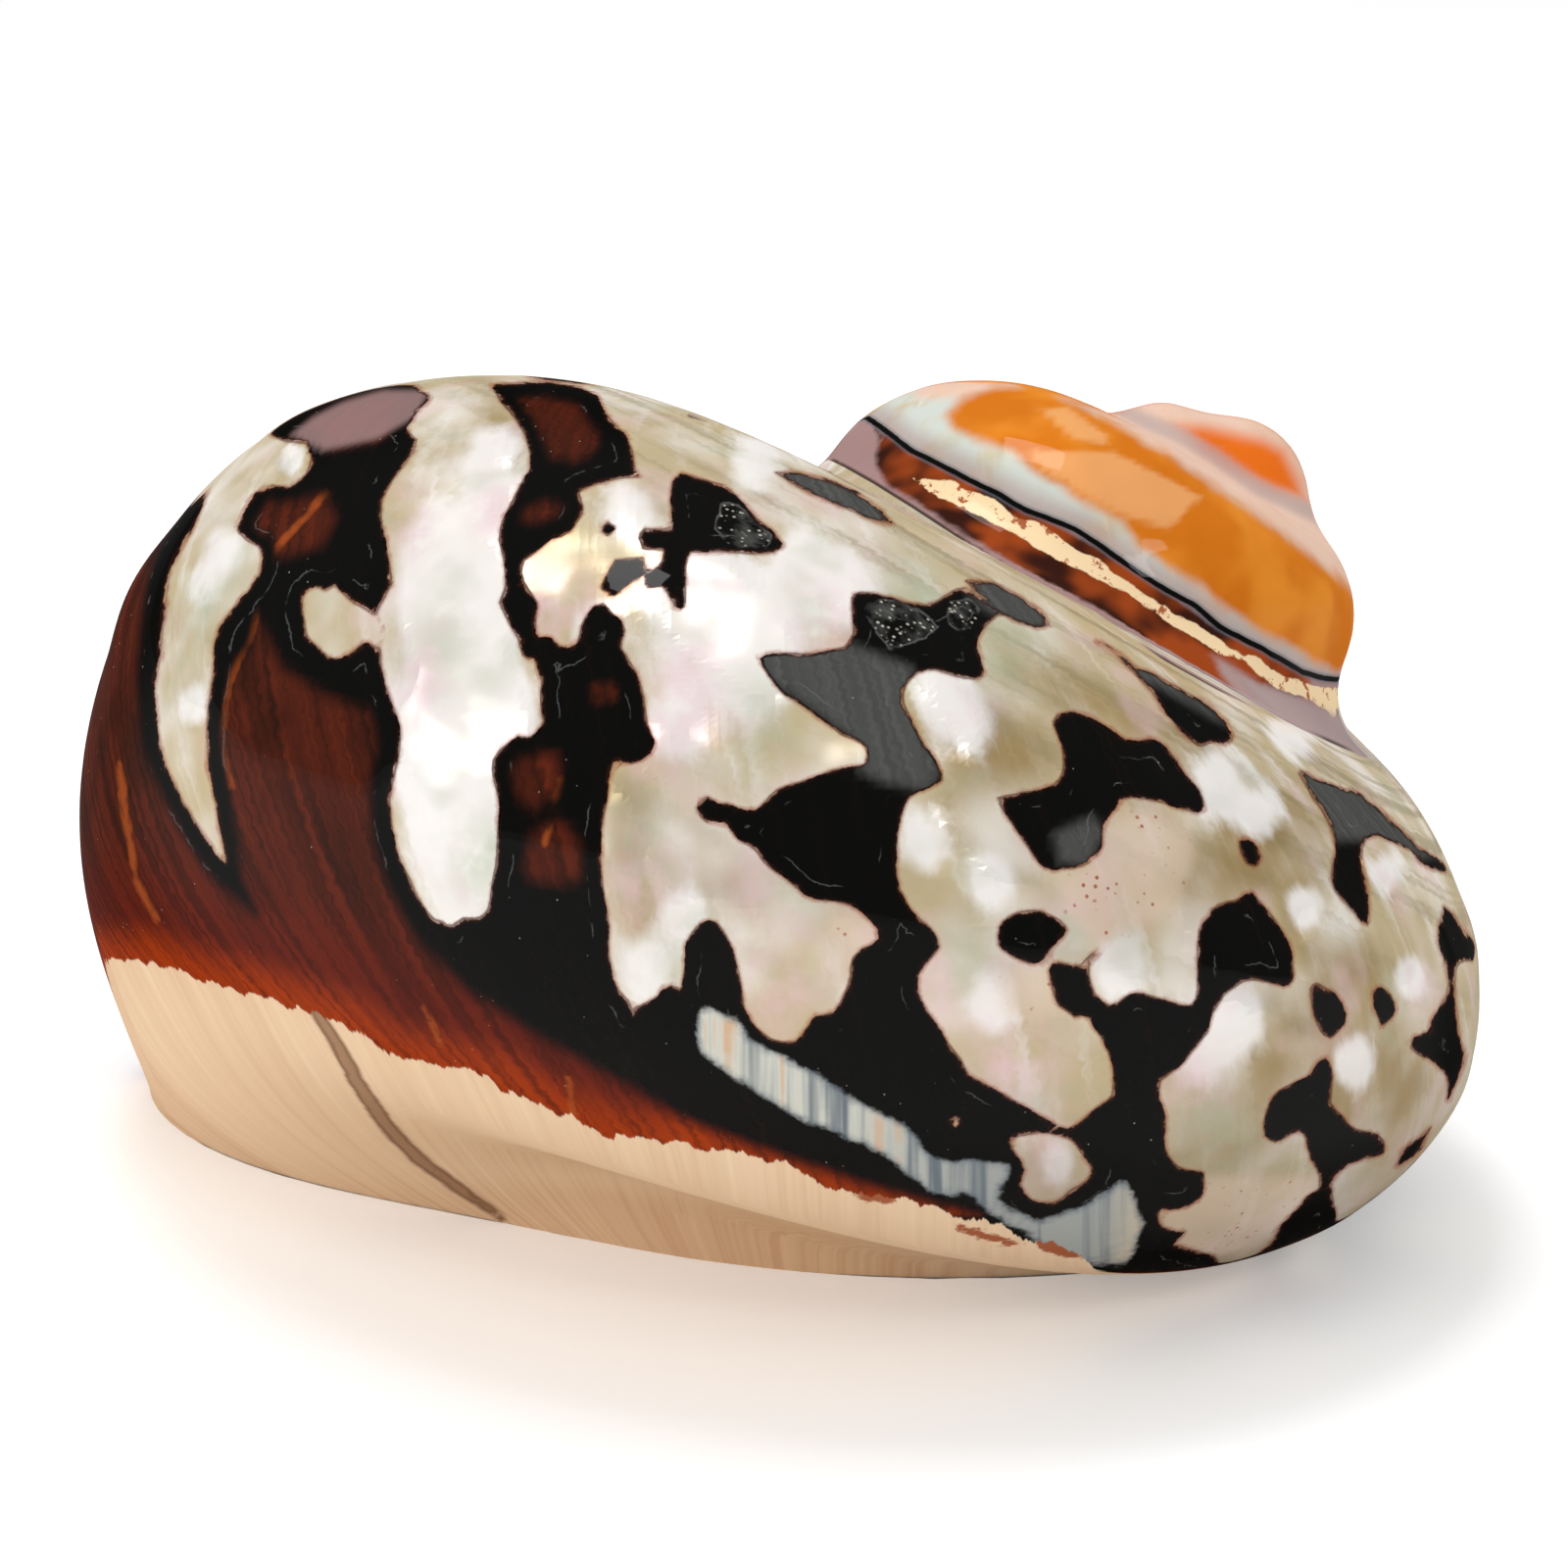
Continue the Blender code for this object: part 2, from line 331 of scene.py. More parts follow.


# Outlines of the layers, drawn in pixels of the 1600 by 1600 frame.  A lump is a place and its size.
DARK_CLOAK: Outline = (
    (502, 393), (534, 390), (565, 390), (590, 394), (609, 405), (615, 419), (627, 433), (638, 444),
    (645, 460), (647, 479), (652, 486), (634, 487), (609, 493), (590, 501), (593, 513), (595, 522),
    (587, 535), (577, 546), (562, 549), (546, 563), (534, 572), (531, 582), (534, 594), (548, 616),
    (546, 632), (546, 651), (560, 651), (577, 664), (590, 657), (595, 635), (606, 619), (615, 616),
    (624, 626), (634, 635), (637, 644), (632, 660), (640, 672), (645, 680), (652, 695), (656, 710),
    (660, 740), (667, 757), (664, 767), (655, 775), (645, 779), (635, 778), (628, 772), (621, 790),
    (620, 800), (619, 815), (613, 845), (612, 880), (616, 915), (621, 945), (620, 970), (625, 1000),
    (632, 1012), (640, 1020), (647, 1035), (652, 1028), (660, 1023), (670, 1020), (680, 1007), (688, 1006),
    (697, 1013), (697, 1000), (700, 985), (701, 962), (705, 955), (712, 945), (720, 940), (728, 940),
    (735, 946), (742, 957), (748, 970), (755, 1000), (759, 1030), (768, 1046), (776, 1053), (785, 1060),
    (797, 1064), (812, 1064), (817, 1060), (823, 1050), (834, 1036), (848, 1037), (855, 1030), (864, 1010),
    (868, 1000), (869, 980), (876, 970), (888, 966), (896, 962), (901, 953), (897, 948), (888, 938),
    (878, 928), (866, 922), (852, 919), (838, 918), (825, 914), (815, 907), (800, 894), (790, 888),
    (780, 880), (773, 869), (765, 862), (757, 859), (750, 853), (745, 845), (740, 837), (732, 840),
    (722, 839), (715, 833), (712, 825), (713, 818), (718, 812), (725, 815), (733, 822), (742, 820),
    (757, 827), (768, 829), (775, 826), (782, 817), (790, 808), (803, 802), (828, 795), (850, 786),
    (875, 782), (884, 780), (886, 772), (884, 762), (875, 755), (860, 750), (845, 738), (830, 727),
    (815, 716), (800, 708), (790, 696), (780, 682), (775, 670), (800, 667), (830, 668), (865, 660),
    (872, 645), (870, 620), (870, 608), (880, 604), (900, 608), (925, 615), (950, 618), (965, 608),
    (975, 602), (985, 600), (1010, 618), (1020, 626), (1012, 632), (1000, 644), (995, 657), (1000, 672),
    (1004, 688), (998, 693), (980, 691), (955, 683), (940, 683), (928, 693), (922, 703), (921, 715),
    (925, 725), (931, 738), (936, 748), (941, 758), (948, 768), (955, 778), (960, 787), (962, 795),
    (955, 800), (944, 805), (935, 808), (927, 814), (922, 822), (916, 845), (913, 880), (915, 897),
    (918, 908), (923, 918), (930, 930), (938, 938), (950, 948), (955, 956), (958, 964), (957, 970),
    (950, 977), (943, 984), (937, 992), (935, 1010), (946, 1032), (960, 1052), (965, 1062), (979, 1080),
    (988, 1098), (1005, 1107), (1025, 1118), (1045, 1130), (1068, 1143), (1078, 1149), (1085, 1153),
    (1095, 1152), (1103, 1145), (1112, 1137), (1120, 1130), (1133, 1122), (1136, 1115), (1137, 1100),
    (1136, 1085), (1126, 1060), (1115, 1045), (1113, 1037), (1105, 1035), (1098, 1038), (1090, 1032),
    (1080, 1025), (1075, 1012), (1072, 1000), (1072, 988), (1076, 982), (1085, 983), (1098, 988),
    (1105, 985), (1110, 977), (1117, 972), (1125, 968), (1114, 980), (1110, 988), (1111, 1000),
    (1118, 1018), (1125, 1023), (1133, 1027), (1140, 1025), (1148, 1018), (1156, 1014), (1165, 1014),
    (1185, 1020), (1207, 1027), (1214, 1027), (1220, 1023), (1222, 1015), (1223, 990), (1222, 970),
    (1224, 950), (1228, 942), (1235, 935), (1237, 928), (1244, 923), (1255, 920), (1266, 918), (1276, 910),
    (1285, 920), (1300, 938), (1312, 958), (1317, 970), (1320, 995), (1318, 1002), (1312, 1006),
    (1300, 1003), (1280, 999), (1270, 1000), (1262, 1005), (1250, 1013), (1240, 1028), (1235, 1037),
    (1232, 1053), (1220, 1067), (1208, 1083), (1200, 1090), (1184, 1102), (1181, 1118), (1188, 1137),
    (1189, 1150), (1187, 1160), (1188, 1172), (1193, 1182), (1200, 1190), (1208, 1194), (1228, 1197),
    (1228, 1207), (1226, 1222), (1212, 1232), (1195, 1234), (1182, 1233), (1181, 1245), (1184, 1252),
    (1200, 1258), (1208, 1257), (1196, 1270), (1240, 1283), (1260, 1330), (800, 1400), (60, 1300),
    (20, 900), (40, 500), (200, 370), (330, 340), (439, 405), (425, 420), (413, 438), (425, 449),
    (422, 460), (411, 476), (399, 491), (389, 510), (388, 529), (396, 572), (400, 594), (389, 616),
    (382, 628), (388, 640), (388, 679), (393, 700), (400, 720), (407, 740), (408, 755), (406, 775),
    (401, 795), (397, 815), (399, 840), (402, 860), (408, 880), (417, 895), (425, 915), (435, 930),
    (442, 938), (450, 940), (459, 947), (464, 943), (473, 937), (488, 938), (496, 932), (500, 926),
    (503, 900), (507, 880), (509, 840), (511, 825), (509, 812), (505, 797), (503, 785), (504, 775),
    (508, 768), (515, 762), (522, 757), (530, 751), (540, 754), (548, 748), (553, 742), (556, 735),
    (553, 725), (552, 710), (554, 695), (551, 688), (546, 671), (535, 672), (529, 651), (518, 632),
    (510, 616), (517, 597), (515, 572), (510, 551), (512, 535), (521, 516), (534, 491), (542, 479),
    (542, 463), (537, 444), (526, 426), (512, 410), (502, 393),
)
DARK_ISLANDS: tuple[Outline, ...] = (
    (
        (696, 483), (721, 490), (740, 496), (752, 507), (768, 526), (787, 541), (799, 557), (790, 563),
        (768, 565), (734, 562), (702, 563), (699, 579), (699, 621), (690, 619), (677, 597), (659, 600),
        (659, 588), (676, 576), (679, 560), (657, 560), (652, 547), (659, 539), (671, 541), (688, 540),
        (687, 529), (685, 510), (687, 491),
    ),
    ((627, 572), (656, 569), (657, 585), (640, 596), (627, 607), (613, 600), (621, 585)),
    ((614, 536), (620, 533), (627, 538), (625, 546), (617, 546)),
    (
        (1017, 815), (1025, 813), (1045, 809), (1060, 807), (1070, 804), (1080, 798), (1085, 788),
        (1086, 775), (1084, 760), (1080, 750), (1075, 738), (1078, 731), (1085, 728), (1095, 727),
        (1107, 731), (1120, 737), (1140, 750), (1150, 756), (1160, 758), (1170, 755), (1180, 756),
        (1188, 762), (1195, 770), (1208, 790), (1222, 805), (1227, 815), (1228, 825), (1222, 829),
        (1200, 823), (1180, 817), (1158, 813), (1142, 815), (1137, 825), (1125, 840), (1124, 862),
        (1120, 872), (1112, 880), (1100, 885), (1070, 887), (1060, 880), (1048, 862), (1040, 850),
        (1025, 828),
    ),
    (
        (1264, 860), (1270, 857), (1277, 859), (1283, 866), (1286, 875), (1284, 882), (1278, 884),
        (1272, 880), (1268, 872),
    ),
    (
        (1020, 965), (1019, 955), (1021, 945), (1026, 938), (1035, 933), (1045, 930), (1055, 929),
        (1065, 931), (1080, 938), (1086, 943), (1088, 950), (1086, 955), (1080, 958), (1075, 963),
        (1066, 977), (1058, 982), (1048, 982), (1040, 978), (1030, 973),
    ),
    (
        (1337, 1010), (1340, 1005), (1345, 1004), (1352, 1009), (1360, 1013), (1366, 1020), (1370, 1028),
        (1373, 1037), (1370, 1045), (1364, 1053), (1358, 1058), (1350, 1055), (1345, 1045), (1340, 1032),
    ),
    (
        (1402, 1013), (1407, 1008), (1414, 1011), (1420, 1017), (1423, 1025), (1422, 1034), (1416, 1042),
        (1410, 1046), (1407, 1038), (1403, 1027),
    ),
    (
        (1353, 1080), (1358, 1090), (1359, 1100), (1357, 1125), (1362, 1133), (1370, 1140), (1375, 1148),
        (1383, 1153), (1405, 1158), (1411, 1164), (1413, 1172), (1411, 1178), (1395, 1181), (1385, 1185),
        (1375, 1190), (1366, 1197), (1357, 1208), (1362, 1238), (1362, 1252), (1350, 1300), (1260, 1310),
        (1285, 1283), (1300, 1265), (1303, 1258), (1315, 1243), (1328, 1230), (1333, 1222), (1347, 1213),
        (1347, 1200), (1343, 1192), (1337, 1180), (1334, 1168), (1332, 1158), (1327, 1153), (1320, 1155),
        (1312, 1160), (1303, 1165), (1296, 1163), (1291, 1157), (1290, 1147), (1292, 1137), (1296, 1125),
        (1303, 1115), (1315, 1108), (1328, 1103), (1338, 1098), (1342, 1090), (1347, 1083),
    ),
    (
        (1473, 925), (1480, 930), (1486, 937), (1492, 947), (1498, 957), (1530, 961), (1530, 980),
        (1495, 980), (1488, 983), (1485, 990), (1484, 1015), (1488, 1045), (1490, 1060), (1494, 1075),
        (1493, 1085), (1488, 1100), (1477, 1122), (1478, 1105), (1475, 1095), (1468, 1087), (1460, 1080),
        (1450, 1077), (1443, 1072), (1438, 1066), (1442, 1060), (1450, 1056), (1460, 1052), (1462, 1040),
        (1472, 1025), (1476, 1015), (1479, 1000), (1475, 980), (1467, 962), (1468, 950),
    ),
    ((1425, 1190), (1430, 1178), (1437, 1168), (1447, 1163), (1460, 1150), (1450, 1172), (1440, 1182)),
    (
        (1160, 682), (1175, 687), (1190, 695), (1220, 712), (1235, 723), (1250, 737), (1257, 750),
        (1257, 757), (1245, 757), (1235, 757), (1225, 762), (1218, 757), (1205, 745), (1195, 732),
        (1175, 705), (1140, 668), (1120, 654), (1140, 665),
    ),
    (
        (792, 482), (815, 483), (845, 490), (875, 503), (898, 519), (912, 535), (890, 530), (850, 513),
        (815, 497),
    ),
    (
        (985, 592), (1015, 595), (1040, 608), (1060, 622), (1072, 638), (1060, 640), (1040, 635),
        (1020, 625), (1005, 612),
    ),
    (
        (1325, 787), (1332, 788), (1342, 795), (1355, 800), (1380, 807), (1390, 812), (1400, 822),
        (1410, 830), (1430, 848), (1448, 865), (1465, 876), (1490, 886), (1470, 889), (1450, 880),
        (1440, 868), (1418, 857), (1408, 852), (1400, 852), (1393, 856), (1390, 865), (1389, 880),
        (1395, 910), (1398, 938), (1395, 944), (1388, 938), (1370, 918), (1362, 908), (1359, 895),
        (1360, 885), (1364, 870), (1362, 855), (1358, 843), (1347, 823), (1340, 815), (1335, 805),
    ),
)
PEARL_ISLETS: tuple[Outline, ...] = (
    (
        (207, 513), (200, 532), (186, 557), (174, 579), (167, 629), (163, 672), (157, 700), (160, 740),
        (163, 765), (171, 788), (178, 800), (186, 818), (200, 840), (210, 858), (221, 875), (231, 882),
        (230, 868), (224, 840), (217, 800), (213, 780), (211, 750), (213, 720), (219, 680), (219, 660),
        (224, 641), (239, 619), (255, 601), (266, 585), (269, 568), (264, 557), (252, 551), (242, 541),
        (249, 522), (260, 504), (275, 495), (296, 498), (303, 493), (314, 482), (319, 466), (313, 452),
        (291, 450), (270, 440), (235, 465), (215, 490),
    ),
    (
        (382, 628), (372, 621), (361, 615), (352, 607), (342, 597), (332, 602), (319, 597), (310, 605),
        (307, 616), (310, 632), (313, 651), (324, 661), (336, 672), (349, 673), (361, 665), (372, 655),
        (382, 660), (392, 665), (392, 632),
    ),
    (
        (1030, 1168), (1033, 1160), (1045, 1158), (1060, 1155), (1075, 1156), (1088, 1160), (1097, 1165),
        (1103, 1175), (1113, 1188), (1115, 1200), (1110, 1206), (1090, 1216), (1085, 1223), (1075, 1228),
        (1062, 1229), (1052, 1225), (1044, 1217), (1041, 1208), (1042, 1200), (1045, 1195), (1042, 1187),
        (1036, 1178),
    ),
    ((969, 1143), (975, 1140), (981, 1143), (980, 1150), (974, 1152)),
)
BLUE_BAND: Outline = (
    (712, 1035), (716, 1027), (722, 1025), (730, 1030), (742, 1036), (752, 1040), (758, 1050), (765, 1060),
    (775, 1065), (785, 1070), (805, 1082), (818, 1087), (830, 1095), (850, 1108), (870, 1120), (890, 1130),
    (912, 1142), (930, 1155), (945, 1175), (955, 1182), (975, 1187), (985, 1185), (1000, 1188),
    (1027, 1188), (1030, 1195), (1022, 1212), (1020, 1222), (1022, 1230), (1035, 1235), (1045, 1240),
    (1060, 1245), (1075, 1242), (1090, 1237), (1115, 1225), (1135, 1210), (1142, 1202), (1150, 1205),
    (1155, 1215), (1160, 1230), (1168, 1250), (1163, 1258), (1160, 1270), (1150, 1290), (1080, 1290),
    (1050, 1262), (1013, 1240), (1000, 1228), (990, 1220), (978, 1217), (970, 1220), (950, 1215),
    (935, 1202), (925, 1197), (905, 1180), (885, 1170), (875, 1163), (862, 1162), (848, 1150), (825, 1146),
    (810, 1135), (797, 1130), (775, 1115), (755, 1103), (735, 1090), (718, 1078), (712, 1070),
)
PEACH_EDGE: Outline = (
    (60, 975), (100, 980), (150, 981), (200, 998), (250, 1012), (300, 1028), (350, 1045), (400, 1078),
    (440, 1085), (500, 1100), (550, 1128), (600, 1150), (650, 1165), (700, 1165), (750, 1176), (800, 1190),
    (850, 1213), (900, 1222), (950, 1228), (1000, 1248), (1050, 1262), (1110, 1285), (1150, 1330),
    (800, 1420), (60, 1400),
)
RUST_FIELDS: tuple[Outline, ...] = (
    (
        (20, 520), (120, 500), (180, 500), (150, 600), (142, 680), (150, 760), (190, 850), (225, 900),
        (260, 930), (235, 870), (226, 800), (222, 740), (226, 690), (252, 660), (262, 625), (290, 680),
        (330, 705), (380, 725), (388, 760), (380, 800), (385, 860), (398, 900), (430, 960), (480, 1010),
        (560, 1060), (640, 1105), (700, 1140), (790, 1175), (900, 1212), (1000, 1240), (900, 1250),
        (60, 1100),
    ),
    (
        (300, 440), (320, 425), (345, 412), (380, 400), (439, 400), (413, 438), (385, 452), (360, 458),
        (330, 463),
    ),
    ((525, 405), (560, 398), (590, 408), (608, 430), (612, 455), (590, 475), (560, 470), (535, 445)),
    ((262, 505), (300, 497), (335, 505), (345, 530), (330, 560), (290, 572), (255, 560), (248, 530)),
    ((528, 515), (560, 508), (576, 515), (572, 530), (545, 537), (528, 532)),
    (
        (516, 785), (525, 768), (545, 765), (572, 767), (575, 790), (566, 815), (545, 830), (530, 820),
        (518, 805),
    ),
    (
        (530, 885), (540, 850), (560, 835), (580, 840), (598, 860), (598, 890), (585, 905), (560, 905),
        (540, 900),
    ),
    ((602, 700), (610, 695), (625, 697), (632, 708), (625, 718), (608, 718)),
)
INSETS: tuple[Outline, ...] = (
    ((735, 515), (750, 512), (772, 533), (788, 548), (780, 560), (745, 556), (730, 540)),
    (
        (883, 615), (900, 612), (915, 613), (930, 620), (950, 630), (955, 640), (945, 650), (920, 660),
        (908, 662), (895, 645), (885, 630),
    ),
    ((966, 618), (974, 612), (990, 612), (998, 620), (999, 632), (990, 642), (975, 642), (967, 634)),
)
GREY_PATCHES: tuple[Outline, ...] = (
    (
        (770, 668), (800, 660), (865, 655), (930, 680), (935, 720), (960, 785), (950, 808), (905, 800),
        (880, 790), (870, 755), (815, 715), (780, 690),
    ),
    ((785, 475), (850, 480), (925, 540), (880, 540), (800, 500)),
    ((975, 585), (1030, 590), (1080, 640), (1060, 650), (1000, 620)),
    ((1110, 645), (1190, 690), (1265, 745), (1240, 735), (1180, 700), (1140, 690)),
    ((1320, 780), (1400, 810), (1480, 870), (1440, 880), (1400, 858), (1355, 858), (1330, 810)),
    ((1075, 850), (1115, 832), (1128, 850), (1110, 885), (1080, 880)),
)
TAN_PATCHES: tuple[Outline, ...] = (
    ((500, 405), (535, 440), (540, 480), (520, 510), (495, 470), (488, 430)),
    (
        (620, 800), (640, 790), (665, 810), (680, 860), (700, 900), (760, 870), (790, 920), (790, 960),
        (760, 950), (700, 940), (680, 1000), (650, 1000), (625, 920),
    ),
    (
        (930, 690), (1000, 700), (1060, 730), (1080, 770), (1070, 800), (1000, 810), (960, 830),
        (1000, 870), (1050, 900), (1010, 930), (970, 860), (950, 820), (960, 780), (930, 720),
    ),
    (
        (1000, 640), (1100, 690), (1240, 760), (1360, 830), (1360, 900), (1330, 960), (1400, 960),
        (1450, 1060), (1470, 1120), (1400, 1180), (1330, 1150), (1260, 1190), (1190, 1190), (1240, 1090),
        (1290, 1010), (1330, 1000), (1300, 920), (1230, 910), (1210, 960), (1180, 900), (1230, 830),
        (1130, 740), (1010, 690),
    ),
)
WORN_PATCHES: tuple[Outline, ...] = (
    (
        (1075, 890), (1125, 878), (1140, 835), (1175, 822), (1215, 840), (1220, 880), (1195, 930),
        (1120, 965), (1085, 930),
    ),
    ((1015, 1000), (1040, 985), (1080, 990), (1085, 1025), (1060, 1045), (1025, 1035)),
    ((850, 925), (885, 935), (900, 955), (870, 968), (845, 950)),
    ((1190, 1198), (1340, 1200), (1350, 1225), (1310, 1250), (1270, 1285), (1200, 1275), (1185, 1250)),
)
# White lumps: partly the pearl's own white, partly painted highlights where the knobs catch the light.
WHITE_AND_HIGHLIGHT_LUMPS: tuple[tuple[float, float, float], ...] = (
    (452, 560, 34), (470, 640, 34), (468, 770, 38), (455, 850, 34), (480, 705, 34), (505, 600, 26),
    (440, 620, 26), (745, 640, 42), (700, 600, 28), (785, 680, 26), (520, 740, 24), (505, 830, 26),
    (480, 905, 26), (420, 745, 22), (500, 470, 26), (545, 520, 18), (300, 470, 10), (205, 600, 14),
    (228, 560, 14), (196, 720, 12), (640, 520, 22), (610, 640, 20), (720, 620, 24), (690, 745, 22),
    (820, 580, 26), (870, 610, 22), (960, 705, 24), (945, 850, 24), (990, 740, 18), (1010, 900, 22),
    (1245, 800, 24), (1290, 830, 16), (1330, 925, 16), (1225, 1060, 26), (1265, 1040, 20), (1140, 985, 22),
    (1415, 890, 14), (1440, 1000, 14), (1380, 1085, 16), (700, 935, 20), (660, 990, 18), (1010, 1020, 22),
    (1080, 1190, 16), (840, 440, 26), (770, 470, 20), (1320, 745, 20),
)
PINK_LUMPS: tuple[tuple[float, float, float], ...] = (
    (565, 615, 26), (430, 700, 24), (505, 520, 20), (660, 905, 26), (800, 1010, 30), (1040, 1085, 34),
    (960, 1010, 22), (880, 945, 24), (1130, 900, 34), (1215, 1110, 24), (700, 690, 30), (780, 900, 26),
    (1065, 1185, 18), (425, 540, 18), (840, 640, 26), (1250, 960, 20),
)
GREEN_LUMPS: tuple[tuple[float, float, float], ...] = (
    (450, 660, 26), (490, 880, 24), (640, 860, 24), (825, 890, 26), (700, 970, 22), (1030, 660, 26),
    (930, 610, 24), (1090, 940, 22), (1240, 1160, 26), (780, 730, 26), (210, 620, 16), (960, 470, 26),
    (1060, 520, 26), (985, 980, 20),
)
GROWTH_STREAK: Outline = (
    (315, 1030), (338, 1068), (356, 1105), (386, 1150), (421, 1186), (462, 1215), (512, 1247), (520, 1243),
    (472, 1208), (433, 1179), (400, 1144), (370, 1100), (350, 1063), (328, 1030),
)
PEACH_TOP: Outline = ((100, 980), (322, 1032), (540, 1130), (704, 1176), (826, 1208), (1000, 1240))
LEAN_SPAN: tuple[float, float] = (520.0, 860.0)
LINE_ROUNDS = 10
LINE_STEP = 0.6
LINE_REACH: tuple[float, float] = (-60.0, 260.0)
LINE_SLOPE = 0.5
LINE_CURVE = 9.0e-6
LAST_SUTURE: Outline = (
    (700, 425), (780, 446), (821, 457), (860, 476), (890, 493), (930, 518), (976, 548), (1040, 585),
    (1119, 626), (1188, 674), (1240, 703), (1298, 732), (1392, 773), (1460, 800), (1500, 300), (700, 300),
)
BLACK_LINE: Outline = (
    (870, 415), (886, 427), (905, 440), (927, 458), (945, 467), (980, 485), (1020, 505), (1045, 520),
    (1070, 529), (1098, 540), (1130, 562), (1160, 583), (1190, 602), (1220, 618), (1245, 640), (1290, 663),
    (1330, 686), (1350, 692), (1400, 697),
)
CREAM_BAND: Outline = (
    (929, 486), (950, 490), (972, 489), (985, 500), (1000, 505), (1020, 515), (1035, 529), (1060, 534),
    (1080, 546), (1100, 562), (1122, 571), (1140, 586), (1165, 605), (1180, 614), (1200, 627), (1230, 642),
    (1255, 661), (1280, 669), (1310, 690), (1340, 699), (1380, 706), (1388, 745), (1360, 731), (1335, 713),
    (1300, 702), (1270, 675), (1240, 665), (1210, 647), (1180, 626), (1150, 606), (1120, 592), (1085, 573),
    (1060, 560), (1035, 544), (1005, 530), (985, 520), (960, 508), (945, 500),
)
# Rust tones with painted shade: the whorl's underside between the black line and the last suture.
RUST_AND_SHADE_STRIP: Outline = (
    (893, 434), (905, 441), (945, 468), (980, 486), (1020, 506), (1070, 530), (1130, 563), (1190, 603),
    (1245, 641), (1290, 664), (1340, 692), (1330, 712), (1262, 690), (1310, 732), (1240, 700), (1188, 670),
    (1119, 622), (1040, 580), (976, 540), (930, 510), (905, 495), (893, 475), (897, 455),
)
AMBER_ZONE: Outline = (
    (972, 438), (966, 422), (985, 405), (1012, 396), (1062, 391), (1100, 410), (1140, 433), (1230, 488),
    (1300, 538), (1368, 591), (1420, 640), (1420, 702), (1372, 692), (1330, 668), (1290, 645), (1250, 618),
    (1215, 592), (1185, 572), (1162, 560), (1147, 535), (1120, 518), (1090, 503), (1060, 483), (1033, 462),
    (1000, 450),
)
# Painted reflections: where a soft box shows in the amber spire's polish.
AMBER_PAINTED_REFLECTIONS: tuple[Outline, ...] = (
    (
        (1045, 458), (1090, 461), (1135, 461), (1180, 482), (1226, 507), (1192, 540), (1160, 530),
        (1135, 524), (1062, 479),
    ),
    ((1062, 418), (1090, 415), (1132, 446), (1130, 455), (1095, 448)),
)
PALE_STRIP: Outline = (
    (930, 360), (1010, 355), (1060, 360), (1140, 380), (1250, 380), (1400, 420), (1420, 590), (1420, 640),
    (1368, 591), (1300, 538), (1230, 488), (1140, 433), (1062, 391), (1012, 396), (985, 405), (935, 405),
)
TIP_CAP: Outline = (
    (1195, 432), (1230, 432), (1262, 440), (1290, 446), (1312, 458), (1328, 490), (1334, 512), (1300, 504),
    (1262, 486), (1225, 462),
)
CRACKS: tuple[Outline, ...] = (
    (
        (337, 498), (318, 520), (283, 558), (264, 600), (260, 640), (240, 680), (229, 720), (226, 760),
        (237, 803),
    ),
    ((122, 780), (127, 830), (139, 900), (160, 938)),
    ((573, 795), (564, 830), (556, 862)),
    ((432, 1028), (440, 1042), (450, 1066)),
    ((579, 1098), (586, 1142)),
    ((655, 1082), (660, 1108)),
)
BASE_PATCHES: tuple[Outline, ...] = (
    ((856, 1200), (880, 1203), (905, 1212), (918, 1226), (905, 1230), (880, 1222), (862, 1212)),
    ((975, 1250), (1000, 1254), (1040, 1268), (1030, 1272), (990, 1262)),
    ((1055, 1262), (1090, 1252), (1122, 1264), (1126, 1279), (1090, 1283), (1062, 1275)),
)
ROSY_PATCH: Outline = (
    (296, 444), (320, 425), (350, 410), (390, 398), (440, 398), (425, 425), (385, 448), (330, 460),
)
UPPER_SUTURE: Outline = (
    (1148, 418), (1165, 428), (1200, 442), (1240, 466), (1280, 495), (1300, 505), (1345, 526),
)
LILAC_LENS: Outline = (
    (1238, 668), (1262, 682), (1290, 701), (1330, 715), (1385, 738), (1405, 776), (1392, 775), (1350, 765),
    (1310, 748), (1290, 728), (1262, 708), (1245, 688),
)


def inside_by(seen: Array, outline: Outline, closed: bool = True) -> Array:
    """Measure how far inside an outline each seen point lies.

    Args:
        seen: Pixels, one per row.
        outline: The outline's corners.
        closed: Whether the last corner joins the first; an open line has no inside.

    Returns:
        The distance in pixels, positive inside.
    """
    corners = np.array(outline, float)
    ends = np.roll(corners, -1, axis=0)
    if not closed:
        corners, ends = corners[:-1], ends[:-1]
    nearest = np.full(len(seen), 1e12)
    inside = np.zeros(len(seen), bool)
    across, down = seen[:, 0], seen[:, 1]
    for (x0, y0), (x1, y1) in zip(corners, ends):
        dx, dy = x1 - x0, y1 - y0
        along = np.clip(((across - x0) * dx + (down - y0) * dy) / max(dx * dx + dy * dy, 1e-9), 0.0, 1.0)
        nearest = np.minimum(nearest, (across - x0 - along * dx) ** 2 + (down - y0 - along * dy) ** 2)
        if closed and y0 != y1:
            inside ^= ((y0 > down) != (y1 > down)) & (across < x0 + (down - y0) / dy * dx)
    return np.sqrt(nearest) * np.where(inside, 1.0, -1.0)


def deepest(seen: Array, outlines: tuple[Outline, ...]) -> Array:
    """Measure how far inside any of several outlines each seen point lies.

    Args:
        seen: Pixels, one per row.
        outlines: The outlines.

    Returns:
        The greatest distance in pixels, positive inside.
    """
    return np.max([inside_by(seen, outline) for outline in outlines], axis=0)


def beside(seen: Array, line: Outline) -> Array:
    """Measure how far each seen point lies from an open line.

    Args:
        seen: Pixels, one per row.
        line: The line's corners, from left to right.

    Returns:
        The distance in pixels, positive below the line.
    """
    corners = np.array(line, float)
    level = np.interp(seen[:, 0], corners[:, 0], corners[:, 1])
    return inside_by(seen, line, closed=False) * np.where(seen[:, 1] > level, -1.0, 1.0)


